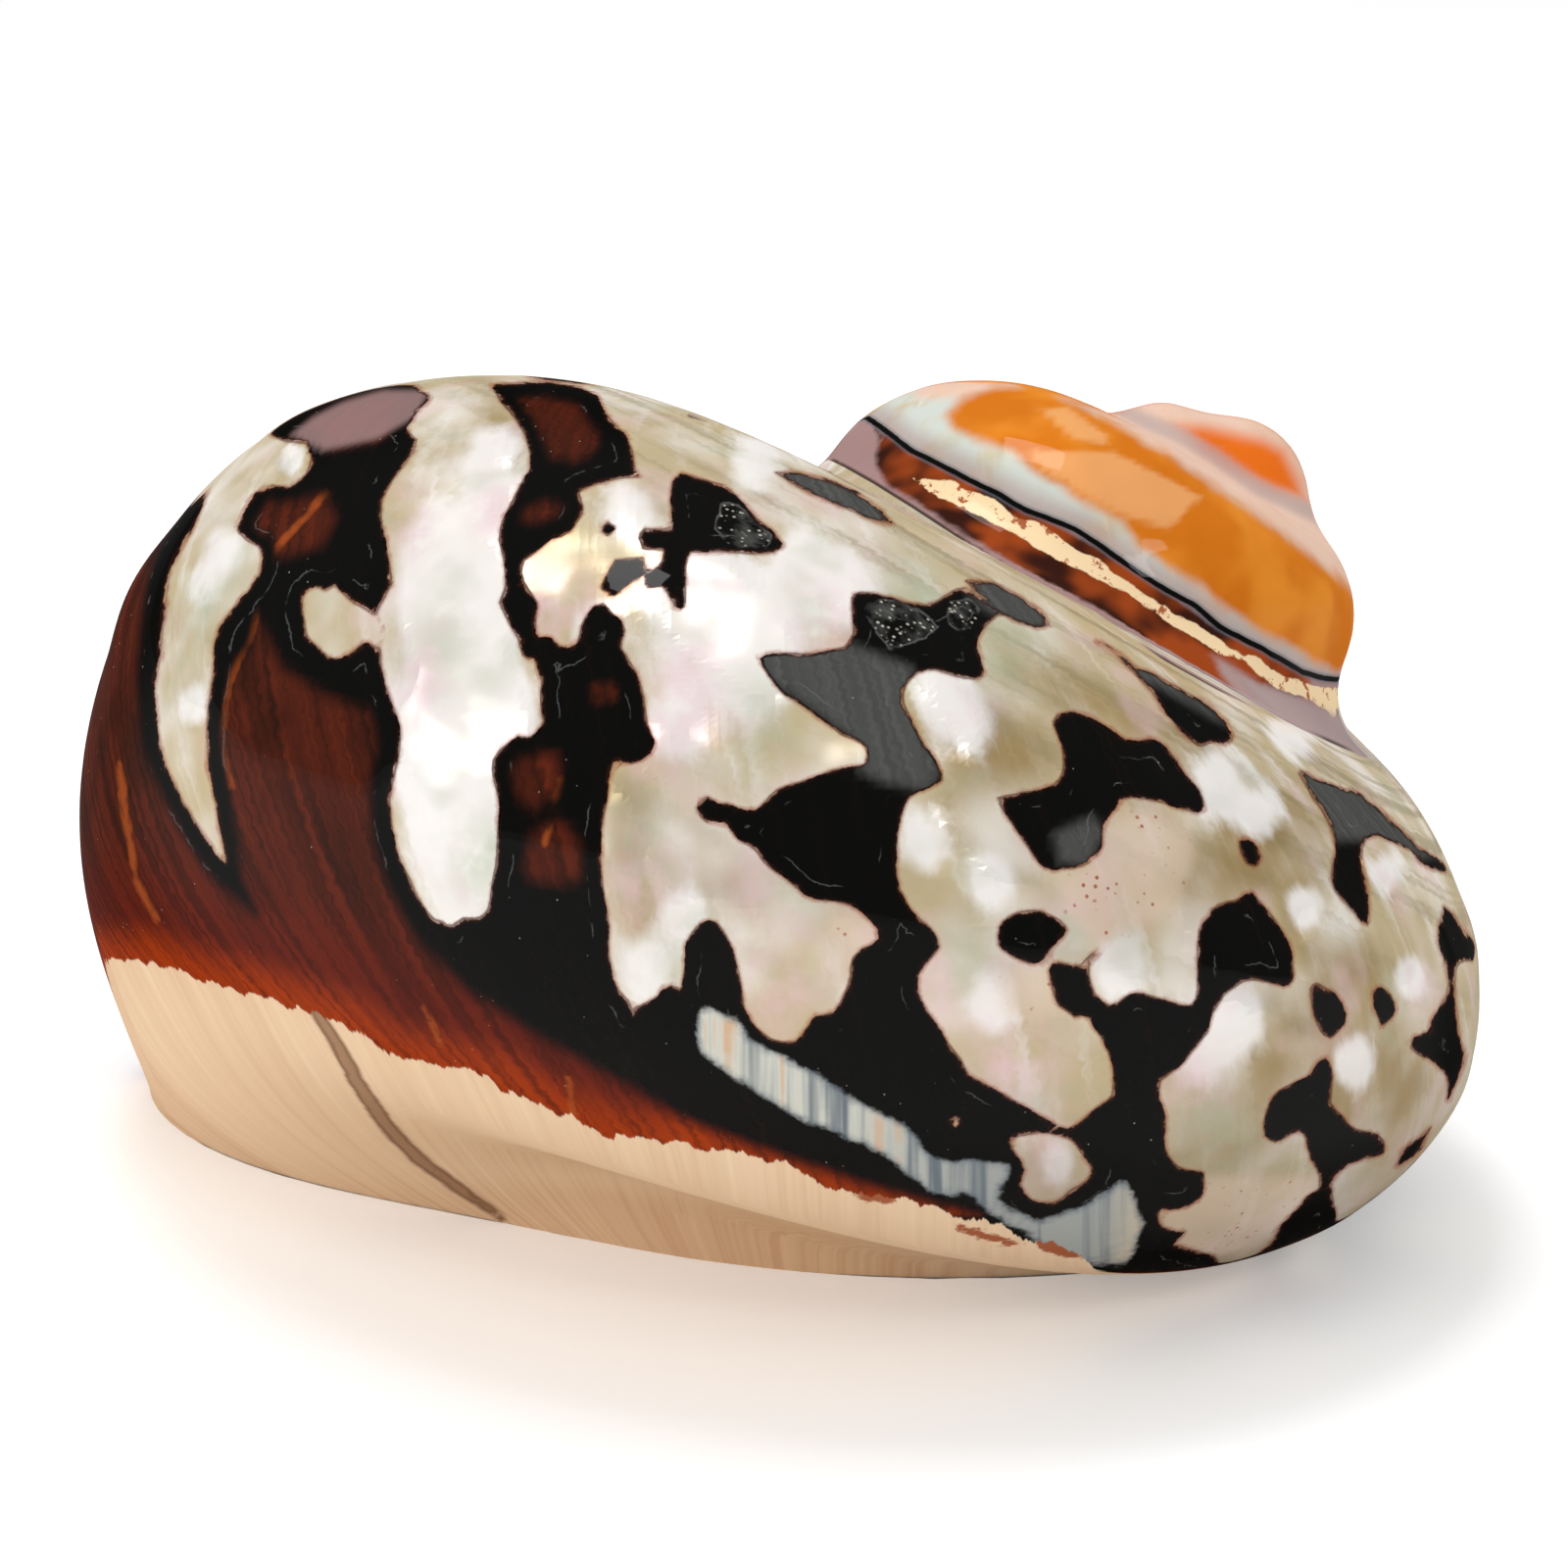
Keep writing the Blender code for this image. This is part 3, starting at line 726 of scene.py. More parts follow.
def lumps(seen: Array, places: tuple[tuple[float, float, float], ...]) -> Array:
    """Add up soft lumps at given places.

    Args:
        seen: Pixels, one per row.
        places: Each lump's pixel and size.

    Returns:
        Their sum, held at 1.
    """
    total = np.zeros(len(seen))
    for across, down, size in places:
        total += np.exp(-((seen[:, 0] - across) ** 2 + ((seen[:, 1] - down) * 0.75) ** 2) / (2.0 * size**2))
    return np.clip(total, 0.0, 1.0)


@dataclass
class OuterSkin:
    """The outer skin: the coil's tube and its worn tip, melted together and rounded at the sutures."""

    coil: Coil
    eye: PhotoEye
    voxel: float = 0.0005
    rounding: float = 0.0035
    softening_rounds: int = 26
    skirt: float = 0.003
    tuck_width: float = 0.0010
    tuck_lift: float = 0.00003
    rings_per_turn: int = 220
    points_per_ring: int = 168
    dome_radius: float = 0.0050
    dome_place: tuple[float, float, float] = (-0.0033, -0.0008, -0.0054)
    blotch_size: float = 0.0135
    seam_bearing: float = -25.0

    def rows(self) -> tuple[Array, Array, Array]:
        """Return the coil's surface points with their growth and bearing."""
        first, last = self.coil.tip_turn - self.coil.tip_taper, 0.0
        growth = 2.0 * math.pi * np.linspace(first, last, round(self.rings_per_turn * (last - first)) + 1)
        start = math.radians(self.seam_bearing)
        bearing = start + 2.0 * math.pi * np.arange(self.points_per_ring) / self.points_per_ring
        return self.coil.skin(growth, bearing), growth, bearing

    @staticmethod
    def mesh_of(name: str, points: Array, faces: list[tuple[int, ...]]) -> bpy.types.Object:
        """Make an object from points and faces.

        Args:
            name: The object's name.
            points: Its points.
            faces: Its faces.

        Returns:
            The new object.
        """
        mesh = bpy.data.meshes.new(name)
        mesh.from_pydata(points.tolist(), [], faces)
        thing = bpy.data.objects.new(name, mesh)
        bpy.context.scene.collection.objects.link(thing)
        return thing

    @staticmethod
    def strip(rows: int, columns: int) -> list[tuple[int, ...]]:
        """Return the faces of a tube of so many rows and columns."""
        across = np.arange(columns)
        beside = (across + 1) % columns
        faces: list[tuple[int, ...]] = []
        for row in range(rows - 1):
            here = row * columns
            faces += zip(here + across, here + columns + across, here + columns + beside, here + beside)
        return [tuple(int(corner) for corner in face) for face in faces]

    def raw(self, surface: Array) -> bpy.types.Object:
        """Make the tube, with its skirt below the ground and the tip's dome, still crossing itself.

        Args:
            surface: The coil's surface points.

        Returns:
            The raw object.
        """
        below = surface[-1] - np.array([0.0, 0.0, self.skirt])
        rows = np.concatenate([surface, below[None]])
        count, columns = rows.shape[:2]
        hubs = count * columns
        faces = self.strip(count, columns)
        top = (count - 1) * columns
        for column in range(columns):
            beside = (column + 1) % columns
            faces.append((hubs, column, beside))
            faces.append((hubs + 1, top + beside, top + column))
        points = np.concatenate([rows.reshape(-1, 3), [rows[0].mean(axis=0), rows[-1].mean(axis=0)]])
        tube = self.mesh_of("outer_skin", points, faces)
        ball = bmesh.new()
        ball.from_mesh(tube.data)
        place = Matrix.Translation(Vector((0.0, 0.0, self.coil.pole_height)) + Vector(self.dome_place))
        bmesh.ops.create_icosphere(ball, subdivisions=5, radius=self.dome_radius, matrix=place)
        ball.to_mesh(tube.data)
        ball.free()
        return tube

    @staticmethod
    def apply(thing: bpy.types.Object) -> None:
        """Replace the object's mesh with what its modifiers make of it."""
        graph = bpy.context.evaluated_depsgraph_get()
        mesh = bpy.data.meshes.new_from_object(thing.evaluated_get(graph))
        thing.modifiers.clear()
        thing.data = mesh

    def melt(self, thing: bpy.types.Object) -> None:
        """Put one clean skin over a mesh that crosses itself."""
        skin = thing.modifiers.new("skin", "REMESH")
        skin.mode = "VOXEL"
        skin.voxel_size = self.voxel
        self.apply(thing)

    def push(self, thing: bpy.types.Object, distance: float) -> None:
        """Push the whole skin out, or in, by a distance."""
        step = thing.modifiers.new("push", "DISPLACE")
        step.mid_level = 0.0
        step.strength = distance
        self.apply(thing)

    def build(self) -> bpy.types.Object:
        """Build the skin, cut it at the ground and centre it on the solid's box.

        Returns:
            The outer skin with its measures.
        """
        surface, growth, bearing = self.rows()
        skin = self.raw(surface)
        self.melt(skin)
        self.push(skin, self.rounding)
        self.melt(skin)
        self.push(skin, -self.rounding)
        self.melt(skin)
        soft = skin.modifiers.new("soft", "SMOOTH")
        soft.factor = 0.5
        soft.iterations = self.softening_rounds
        self.apply(skin)
        shift = self.centre(skin)
        self.pole = np.array([shift[0], shift[1], self.coil.pole_height])
        self.carry(skin, surface + shift, growth, bearing)
        for polygon in skin.data.polygons:
            polygon.use_smooth = True
        return skin

    def centre(self, skin: bpy.types.Object) -> Array:
        """Cut the skin at the ground and centre it on the solid's box.

        Args:
            skin: The skin's object.

        Returns:
            How far the skin moved.
        """
        mesh = bmesh.new()
        mesh.from_mesh(skin.data)
        every = mesh.verts[:] + mesh.edges[:] + mesh.faces[:]
        bmesh.ops.bisect_plane(
            mesh, geom=every, plane_co=(0.0, 0.0, 0.0), plane_no=(0.0, 0.0, 1.0), clear_inner=True
        )
        mesh.to_mesh(skin.data)
        mesh.free()
        points = self.points_of(skin)
        low, high = points.min(axis=0), points.max(axis=0)
        box = np.array(SOLID_BOX, float).reshape(2, 3)
        middle = box.mean(axis=0) - (low + high) / 2.0
        shift = np.array([middle[0], middle[1], 0.0])
        skin.data.vertices.foreach_set("co", (points + shift).ravel())
        skin.data.update()
        return shift

    def tuck(self, skin: bpy.types.Object) -> None:
        """Turn the cut edge in over the rim, so that no slit shows beside it.

        Args:
            skin: The skin's object.
        """
        mesh = bmesh.new()
        mesh.from_mesh(skin.data)
        cut = [edge for edge in mesh.edges if edge.is_boundary]
        for edge in cut:
            edge.smooth = False
        for corner in bmesh.ops.extrude_edge_only(mesh, edges=cut)["geom"]:
            if isinstance(corner, bmesh.types.BMVert):
                level = Vector((corner.co.x, corner.co.y, 0.0))
                corner.co = level - level.normalized() * self.tuck_width + Vector((0.0, 0.0, self.tuck_lift))
        mesh.to_mesh(skin.data)
        mesh.free()

    @staticmethod
    def points_of(thing: bpy.types.Object) -> Array:
        """Return the object's points, one per row."""
        flat = np.empty(3 * len(thing.data.vertices))
        thing.data.vertices.foreach_get("co", flat)
        return flat.reshape(-1, 3)

    def carry(self, skin: bpy.types.Object, surface: Array, growth: Array, bearing: Array) -> None:
        """Work out each point's measures and store them on the mesh.

        Args:
            skin: The skin's object.
            surface: The coil's surface points, in place.
            growth: The growth of each row.
            bearing: The bearing of each column.
        """
        points = self.points_of(skin)
        mesh = skin.data
        normals = np.empty(3 * len(points))
        mesh.vertex_normals.foreach_get("vector", normals)
        normals = normals.reshape(-1, 3)
        turns, rounds = self.place_on_coil(points, surface, growth, bearing)
        seen = self.eye.pixels(points, self.pole)
        share = self.seen_share(skin, points, normals)
        measures = self.traced(seen, turns)
        guessed = self.grown(points, turns, rounds)
        for mark in Mark:
            if mark is Mark.GROWTH:
                values = turns
            elif mark is Mark.BEARING:
                values = rounds
            elif mark is Mark.FAN:
                values = self.ruled(seen)
            else:
                values = share * measures[mark] + (1.0 - share) * guessed[mark]
            measure = mesh.attributes.new(mark.value, "FLOAT", "POINT")
            measure.data.foreach_set("value", values.astype(np.float32))

    def place_on_coil(
        self, points: Array, surface: Array, growth: Array, bearing: Array
    ) -> tuple[Array, Array]:
        """Find where on the coil each point of the skin lies.

        Args:
            points: The skin's points.
            surface: The coil's surface points.
            growth: The growth of each row.
            bearing: The bearing of each column.

        Returns:
            The growth and the bearing of each point, both in turns.
        """
        rows, columns = surface.shape[:2]
        tree = BVHTree.FromPolygons(surface.reshape(-1, 3).tolist(), self.strip(rows, columns))
        faces = np.array([tree.find_nearest(point)[2] for point in points.tolist()])
        row, column = faces // columns, faces % columns
        beside = (column + 1) % columns
        near, along, round_ = surface[row, column], surface[row + 1, column], surface[row, beside]
        step, turn = along - near, round_ - near
        away = points - near
        share = np.clip((away * step).sum(1) / np.maximum((step * step).sum(1), 1e-12), 0.0, 1.0)
        swing = np.clip((away * turn).sum(1) / np.maximum((turn * turn).sum(1), 1e-12), 0.0, 1.0)
        turns = (growth[row] + share * (growth[1] - growth[0])) / (2.0 * math.pi)
        rounds = (bearing[column] + swing * (bearing[1] - bearing[0])) / (2.0 * math.pi)
        return turns, rounds

    def seen_share(self, skin: bpy.types.Object, points: Array, normals: Array) -> Array:
        """Work out how plainly each point is seen in the photograph.

        Args:
            skin: The skin's object.
            points: Its points.
            normals: Its normals.

        Returns:
            1 where the drawn outlines hold, 0 on hidden sides, eased between.
        """
        place = self.eye.place(self.pole)
        sight = place - points
        sight /= np.linalg.norm(sight, axis=1)[:, None]
        facing = (sight * normals).sum(axis=1)
        mesh = skin.data
        tree = BVHTree.FromPolygons(points.tolist(), [tuple(face.vertices) for face in mesh.polygons])
        share = ease(0.0, 0.10, facing)
        for index in np.nonzero(share > 0.0)[0]:
            start = Vector(points[index] + normals[index] * 0.0006)
            if tree.ray_cast(start, Vector(sight[index]))[0] is not None:
                share[index] = 0.0
        edges = np.empty(2 * len(mesh.edges), int)
        mesh.edges.foreach_get("vertices", edges)
        one, other = edges.reshape(-1, 2).T
        links = np.bincount(np.concatenate([one, other]), minlength=len(points))
        for _ in range(6):
            total = np.bincount(one, share[other], len(points)) + np.bincount(other, share[one], len(points))
            share = 0.4 * share + 0.6 * total / np.maximum(links, 1)
        return share

    @staticmethod
    def ruled(seen: Array) -> Array:
        """Number the growth lines of the base, which lean less and less from left to right.

        Args:
            seen: Each point's pixel.

        Returns:
            Where the line through each point starts at the peach layer's edge, in pixels from the left.
        """
        edge = np.array(PEACH_TOP, dtype=float)
        line = seen[:, 0].copy()
        for _ in range(LINE_ROUNDS):
            fall = np.clip(seen[:, 1] - np.interp(line, edge[:, 0], edge[:, 1]), *LINE_REACH)
            lean = np.interp(line, LEAN_SPAN, (1.0, 0.0))
            start = seen[:, 0] - lean * (LINE_SLOPE * fall + LINE_CURVE * fall**3)
            line += LINE_STEP * (start - line)
        return line

    def traced(self, seen: Array, turns: Array) -> dict[Mark, Array]:
        """Measure the drawn layers at each seen point.

        Args:
            seen: Each point's pixel.
            turns: Each point's growth, in turns; not used.

        Returns:
            The measures, distances in millimetres.
        """
        scale = 1000.0 * self.eye.pole_depth / self.eye.focal()
        dark = np.maximum(inside_by(seen, DARK_CLOAK), deepest(seen, DARK_ISLANDS))
        # Painted shade: a soft grey-mauve line along the upper suture's groove.
        painted_suture_shade = 0.8 * ease(-13.0, -3.0, inside_by(seen, UPPER_SUTURE, closed=False))
        return {
            Mark.LAYER: scale * np.minimum(dark, -deepest(seen, PEARL_ISLETS)),
            Mark.RUST: ease(-6.0, 14.0, deepest(seen, RUST_FIELDS)),
            Mark.GREY: ease(-7.0, 9.0, deepest(seen, GREY_PATCHES)),
            Mark.PEACH: scale * inside_by(seen, PEACH_EDGE),
            Mark.BAND: scale * inside_by(seen, BLUE_BAND),
            Mark.INSET: scale * deepest(seen, INSETS),
            Mark.TAN: ease(-20.0, 30.0, deepest(seen, TAN_PATCHES)),
            Mark.WHITE: lumps(seen, WHITE_AND_HIGHLIGHT_LUMPS),
            Mark.PINK: lumps(seen, PINK_LUMPS),
            Mark.GREEN: lumps(seen, GREEN_LUMPS),
            Mark.WORN: ease(-8.0, 10.0, deepest(seen, WORN_PATCHES)),
            Mark.STREAK: scale * inside_by(seen, GROWTH_STREAK),
            Mark.SEEN: np.ones(len(seen)),
            Mark.SPIRE: np.clip(scale * inside_by(seen, LAST_SUTURE), -3.0, 3.0),
            Mark.SUTURE: scale * inside_by(seen, LAST_SUTURE),
            Mark.AMBER: scale * inside_by(seen, AMBER_ZONE),
            Mark.PAINTED_REFLECTION: ease(-2.0, 3.0, deepest(seen, AMBER_PAINTED_REFLECTIONS)),
            Mark.PALE: ease(-8.0, 6.0, inside_by(seen, PALE_STRIP)),
            Mark.TIP: ease(-8.0, 14.0, inside_by(seen, TIP_CAP)),
            Mark.RUST_AND_SHADE: scale * inside_by(seen, RUST_AND_SHADE_STRIP),
            Mark.CREAM: scale * inside_by(seen, CREAM_BAND),
            Mark.LILAC_AND_SUTURE_SHADE: np.maximum(ease(-4.0, 5.0, deepest(seen, (LILAC_LENS, ROSY_PATCH))), painted_suture_shade),
            Mark.LINE: scale * beside(seen, BLACK_LINE),
            Mark.CRACK: scale * np.min([-inside_by(seen, crack, closed=False) for crack in CRACKS], axis=0),
            Mark.PATCH: scale * deepest(seen, BASE_PATCHES),
        }

    def grown(self, points: Array, turns: Array, rounds: Array) -> dict[Mark, Array]:
        """Work out the same layers for the sides that the photograph hides.

        Args:
            points: The skin's points.
            turns: Each point's growth, in turns.
            rounds: Each point's bearing, in turns.

        Returns:
            The measures, distances in millimetres.
        """
        bearing = np.degrees(2.0 * math.pi * rounds)
        count = len(points)
        blotch, soft, grain = np.empty(count), np.empty(count), np.empty(count)
        for index, point in enumerate(points.tolist()):
            place = Vector(point) / self.blotch_size
            blotch[index] = noise.noise(place + Vector((3.1, 7.7, 1.9))) + 0.45 * noise.noise(place * 2.3)
            soft[index] = noise.noise(place * 0.6 + Vector((9.2, 0.4, 5.5)))
            grain[index] = noise.noise(place * 3.1 + Vector((2.2, 8.4, 0.5)))
        peach_turns = [-1.0, -0.55, -0.45, -0.33, -0.2, 0.0]
        peach_line = np.interp(turns, peach_turns, [158.0, 152.0, 157.0, 171.0, 177.0, 176.0])
        from_line = bearing - peach_line
        reach = 0.60 * np.exp(turns)
        near_lip = ease(-0.34, -0.12, turns)
        low_side = ease(-62.0, -12.0, from_line)
        line_at = np.interp(turns, [-2.2, -1.6, -1.3, -1.0], [118.0, 112.0, 104.0, 100.0])
        from_black = (bearing - line_at) * 0.30 * np.exp(turns + 1.0) - 8.0 * ease(-1.84, -1.92, turns)
        return {
            Mark.LAYER: 6.5 * blotch - 3.0 + 4.6 * near_lip + 7.0 * low_side,
            Mark.RUST: ease(-0.15, 0.35, soft + 0.6 * near_lip + 0.2 * low_side),
            Mark.GREY: ease(0.35, 0.5, soft) * (1.0 - near_lip),
            Mark.PEACH: np.clip(from_line, -150.0, 125.0) * reach + 0.8 * grain,
            Mark.BAND: np.where(turns > -0.6, -9.0, 1.4 - np.abs(from_line + 9.0) * 0.35),
            Mark.INSET: np.full(count, -9.0),
            Mark.TAN: ease(-0.25, 0.45, soft - blotch * 0.4),
            Mark.WHITE: ease(0.05, 0.55, grain),
            Mark.PINK: ease(0.05, 0.5, -grain + 0.4 * soft),
            Mark.GREEN: ease(0.1, 0.55, blotch * 0.7 - grain * 0.5),
            Mark.WORN: np.zeros(count),
            Mark.STREAK: np.full(count, -9.0),
            Mark.SEEN: np.zeros(count),
            Mark.SPIRE: np.clip((-0.97 - turns) * 2.4 + 0.16 * blotch + 0.1 * grain, -3.0, 3.0),
            Mark.SUTURE: np.full(count, 9.0),
            Mark.AMBER: 2.0 + 3.0 * soft - 0.05 * np.abs(bearing - 62.0),
            Mark.PAINTED_REFLECTION: np.zeros(count),
            Mark.PALE: ease(45.0, 25.0, bearing) * ease(-2.0, -1.8, turns),
            Mark.TIP: ease(-1.80, -1.98, turns),
            Mark.RUST_AND_SHADE: 2.0 - np.abs(from_black - 2.0),
            Mark.CREAM: 0.6 - np.abs(from_black - 1.3),
            Mark.LILAC_AND_SUTURE_SHADE: np.zeros(count),
            Mark.LINE: from_black,
            Mark.CRACK: np.full(count, 9.0),
            Mark.PATCH: np.full(count, -9.0),
        }


class Socket:
    """A value in a shader, so that sums on it read as plain Python."""

    def __init__(self, board: "Board", socket: bpy.types.NodeSocket) -> None:
        """Keep the board that the value belongs to and its socket."""
        self.board = board
        self.socket = socket

    def math(self, operation: str, *others: "Socket | float") -> "Socket":
        """Return the result of a Math node on this value and others.

        Args:
            operation: The Math node's operation.
            others: What it works with.

        Returns:
            The new value.
        """
        inputs = {index: value for index, value in enumerate((self, *others))}
        return self.board.add("ShaderNodeMath", {"operation": operation}, inputs)

    def __add__(self, other: "Socket | float") -> "Socket":
        """Add."""
        return self.math("ADD", other)

    __radd__ = __add__

    def __mul__(self, other: "Socket | float") -> "Socket":
        """Multiply."""
        return self.math("MULTIPLY", other)

    __rmul__ = __mul__

    def __sub__(self, other: "Socket | float") -> "Socket":
        """Subtract."""
        return self.math("SUBTRACT", other)

    def __rsub__(self, other: float) -> "Socket":
        """Subtract this value from a number."""
        return self * -1.0 + other

    def __abs__(self) -> "Socket":
        """Drop the sign."""
        return self.math("ABSOLUTE")

    def clipped(self) -> "Socket":
        """Hold the value between 0 and 1."""
        return self.math("MINIMUM", 1.0).math("MAXIMUM", 0.0)

    def most(self, other: "Socket | float") -> "Socket":
        """Return the greater of two values."""
        return self.math("MAXIMUM", other)

    def step(self, low: float, high: float) -> "Socket":
        """Ease from 0 at low to 1 at high.

        Args:
            low: Where the step starts.
            high: Where the step ends; below low, the step falls.

        Returns:
            The eased value.
        """
        if low > high:
            return 1.0 - self.step(high, low)
        settings = {"interpolation_type": "SMOOTHSTEP", "clamp": True}
        inputs = {"Value": self, "From Min": low, "From Max": high}
        return self.board.add("ShaderNodeMapRange", settings, inputs)


class Board:
    """A material's node tree, filled one node at a time."""

    def __init__(self, name: str) -> None:
        """Make the material and clear its tree."""
        self.material = bpy.data.materials.new(name)
        self.material.use_nodes = True
        self.tree = self.material.node_tree
        self.tree.nodes.clear()

    def add(
        self, kind: str, settings: dict[str, object], inputs: dict[str | int, object], output: str | int = 0
    ) -> Socket:
        """Add a node with its settings first and its inputs after.

        Args:
            kind: The node's type.
            settings: Its settings, each set on the node as it is.
            inputs: A value, colour or link for each input.
            output: Which output to return.

        Returns:
            The chosen output.
        """
        node = self.tree.nodes.new(kind)
        for key, value in settings.items():
            setattr(node, key, value)
        for key, value in inputs.items():
            self.feed(node.inputs[key], value)
        return Socket(self, node.outputs[output])

    def feed(self, target: bpy.types.NodeSocket, value: object) -> None:
        """Link or set one input.

        Args:
            target: The input.
            value: A socket, a number or a colour.
        """
        if isinstance(value, Socket):
            self.tree.links.new(value.socket, target)
        else:
            target.default_value = value

    def read(self, mark: Mark) -> Socket:
        """Return one of the skin's measures."""
        return self.add("ShaderNodeAttribute", {"attribute_name": mark.value}, {}, "Fac")

    def place(self) -> Socket:
        """Return the place on the object, in millimetres."""
        here = self.add("ShaderNodeTexCoord", {}, {}, "Object")
        return self.add("ShaderNodeVectorMath", {"operation": "SCALE"}, {0: here, "Scale": 1000.0})

    def ruled(self, hidden: Socket, fine: float, seen_fine: float) -> Socket:
        """Return a measure across the growth lines, in lines.

        Args:
            hidden: The measure for the sides that the photograph hides, in turns.
            fine: How many lines one turn holds there.
            seen_fine: How many lines one pixel holds on the photographed side.

        Returns:
            The measure.
        """
        front = self.read(Mark.SEEN)
        return self.read(Mark.FAN) * front * seen_fine + hidden * (1.0 - front) * fine

    def upright(self, vector: Socket) -> Socket:
        """Return the upward part of a vector."""
        return self.add("ShaderNodeSeparateXYZ", {}, {0: vector}, "Z")

    def grain(self, where: Socket, size: float, detail: float = 2.0, rough: float = 0.55) -> Socket:
        """Return noise of a given size.

        Args:
            where: The coordinates, in millimetres.
            size: The size of its lumps, in the same unit.
            detail: How many finer levels it has.
            rough: How strong the finer levels are.

        Returns:
            The noise, 0 to 1.
        """
        inputs = {"Vector": where, "Scale": 1.0 / size, "Detail": detail, "Roughness": rough}
        return self.add("ShaderNodeTexNoise", {"noise_dimensions": "3D"}, inputs, "Fac")

    def spots(self, where: Socket, size: float) -> Socket:
        """Return the distance to the nearest of scattered spots, in shares of their spacing."""
        inputs = {"Vector": where, "Scale": 1.0 / size}
        return self.add("ShaderNodeTexVoronoi", {"feature": "F1"}, inputs, "Distance")

    def stretched(self, along: Socket, across: Socket, fine: float, long: float) -> Socket:
        """Return coordinates that draw grain out into lines.

        Args:
            along: The measure that the lines cross.
            across: The measure that the lines follow.
            fine: How many units one turn holds across the lines.
            long: How many units one turn holds along them.

        Returns:
            The coordinates.
        """
        return self.add("ShaderNodeCombineXYZ", {}, {"X": along * fine, "Y": across * long, "Z": 0.0})

    def mix(self, share: Socket | float, under: object, over: object) -> Socket:
        """Mix two colours.

        Args:
            share: How much of the upper colour.
            under: The lower colour.
            over: The upper colour.

        Returns:
            The mixed colour.
        """
        node = self.tree.nodes.new("ShaderNodeMix")
        node.data_type = "RGBA"
        node.clamp_factor = True
        self.feed(node.inputs[0], share)
        self.feed(node.inputs[6], under)
        self.feed(node.inputs[7], over)
        return Socket(self, node.outputs[2])

    def close(self, shader: Socket) -> bpy.types.Material:
        """Join the shader to the output and return the material."""
        output = self.tree.nodes.new("ShaderNodeOutputMaterial")
        self.tree.links.new(shader.socket, output.inputs["Surface"])
        return self.material


@dataclass(frozen=True)
class Gloss:
    """How polished a finish is."""

    coat_roughness: float = 0.03
    coat_ior: float = 1.18
    under_polish: float = 0.0
    edge_span: tuple[float, float] = (0.2, 0.75)
    edge_loss: float = 0.97

    def shader(
        self,
        board: Board,
        colour: Socket,
        rough: Socket | float,
        metal: Socket | float,
        relief: Socket,
        depth: float,
    ) -> Socket:
        """Return a polished surface.

        Args:
            board: The material's board.
            colour: Its colour.
            rough: Its roughness under the polish.
            metal: How far it mirrors like metal under the polish.
            relief: The height of its fine relief, 0 to 1.
            depth: The relief's full depth, in metres.

        Returns:
            The shader.
        """
        normal = board.add("ShaderNodeBump", {}, {"Height": relief, "Strength": 1.0, "Distance": depth})
        edge = board.add("ShaderNodeLayerWeight", {}, {"Blend": 0.5}, "Facing")
        inputs = {
            "Base Color": colour,
            "Roughness": rough,
            "Metallic": metal,
            "Specular IOR Level": self.under_polish,
            "Normal": normal,
            "Coat Weight": 1.0 - edge.step(*self.edge_span) * self.edge_loss,
            "Coat Roughness": self.coat_roughness,
            "Coat IOR": self.coat_ior,
        }
        return board.add("ShaderNodeBsdfPrincipled", {}, inputs)


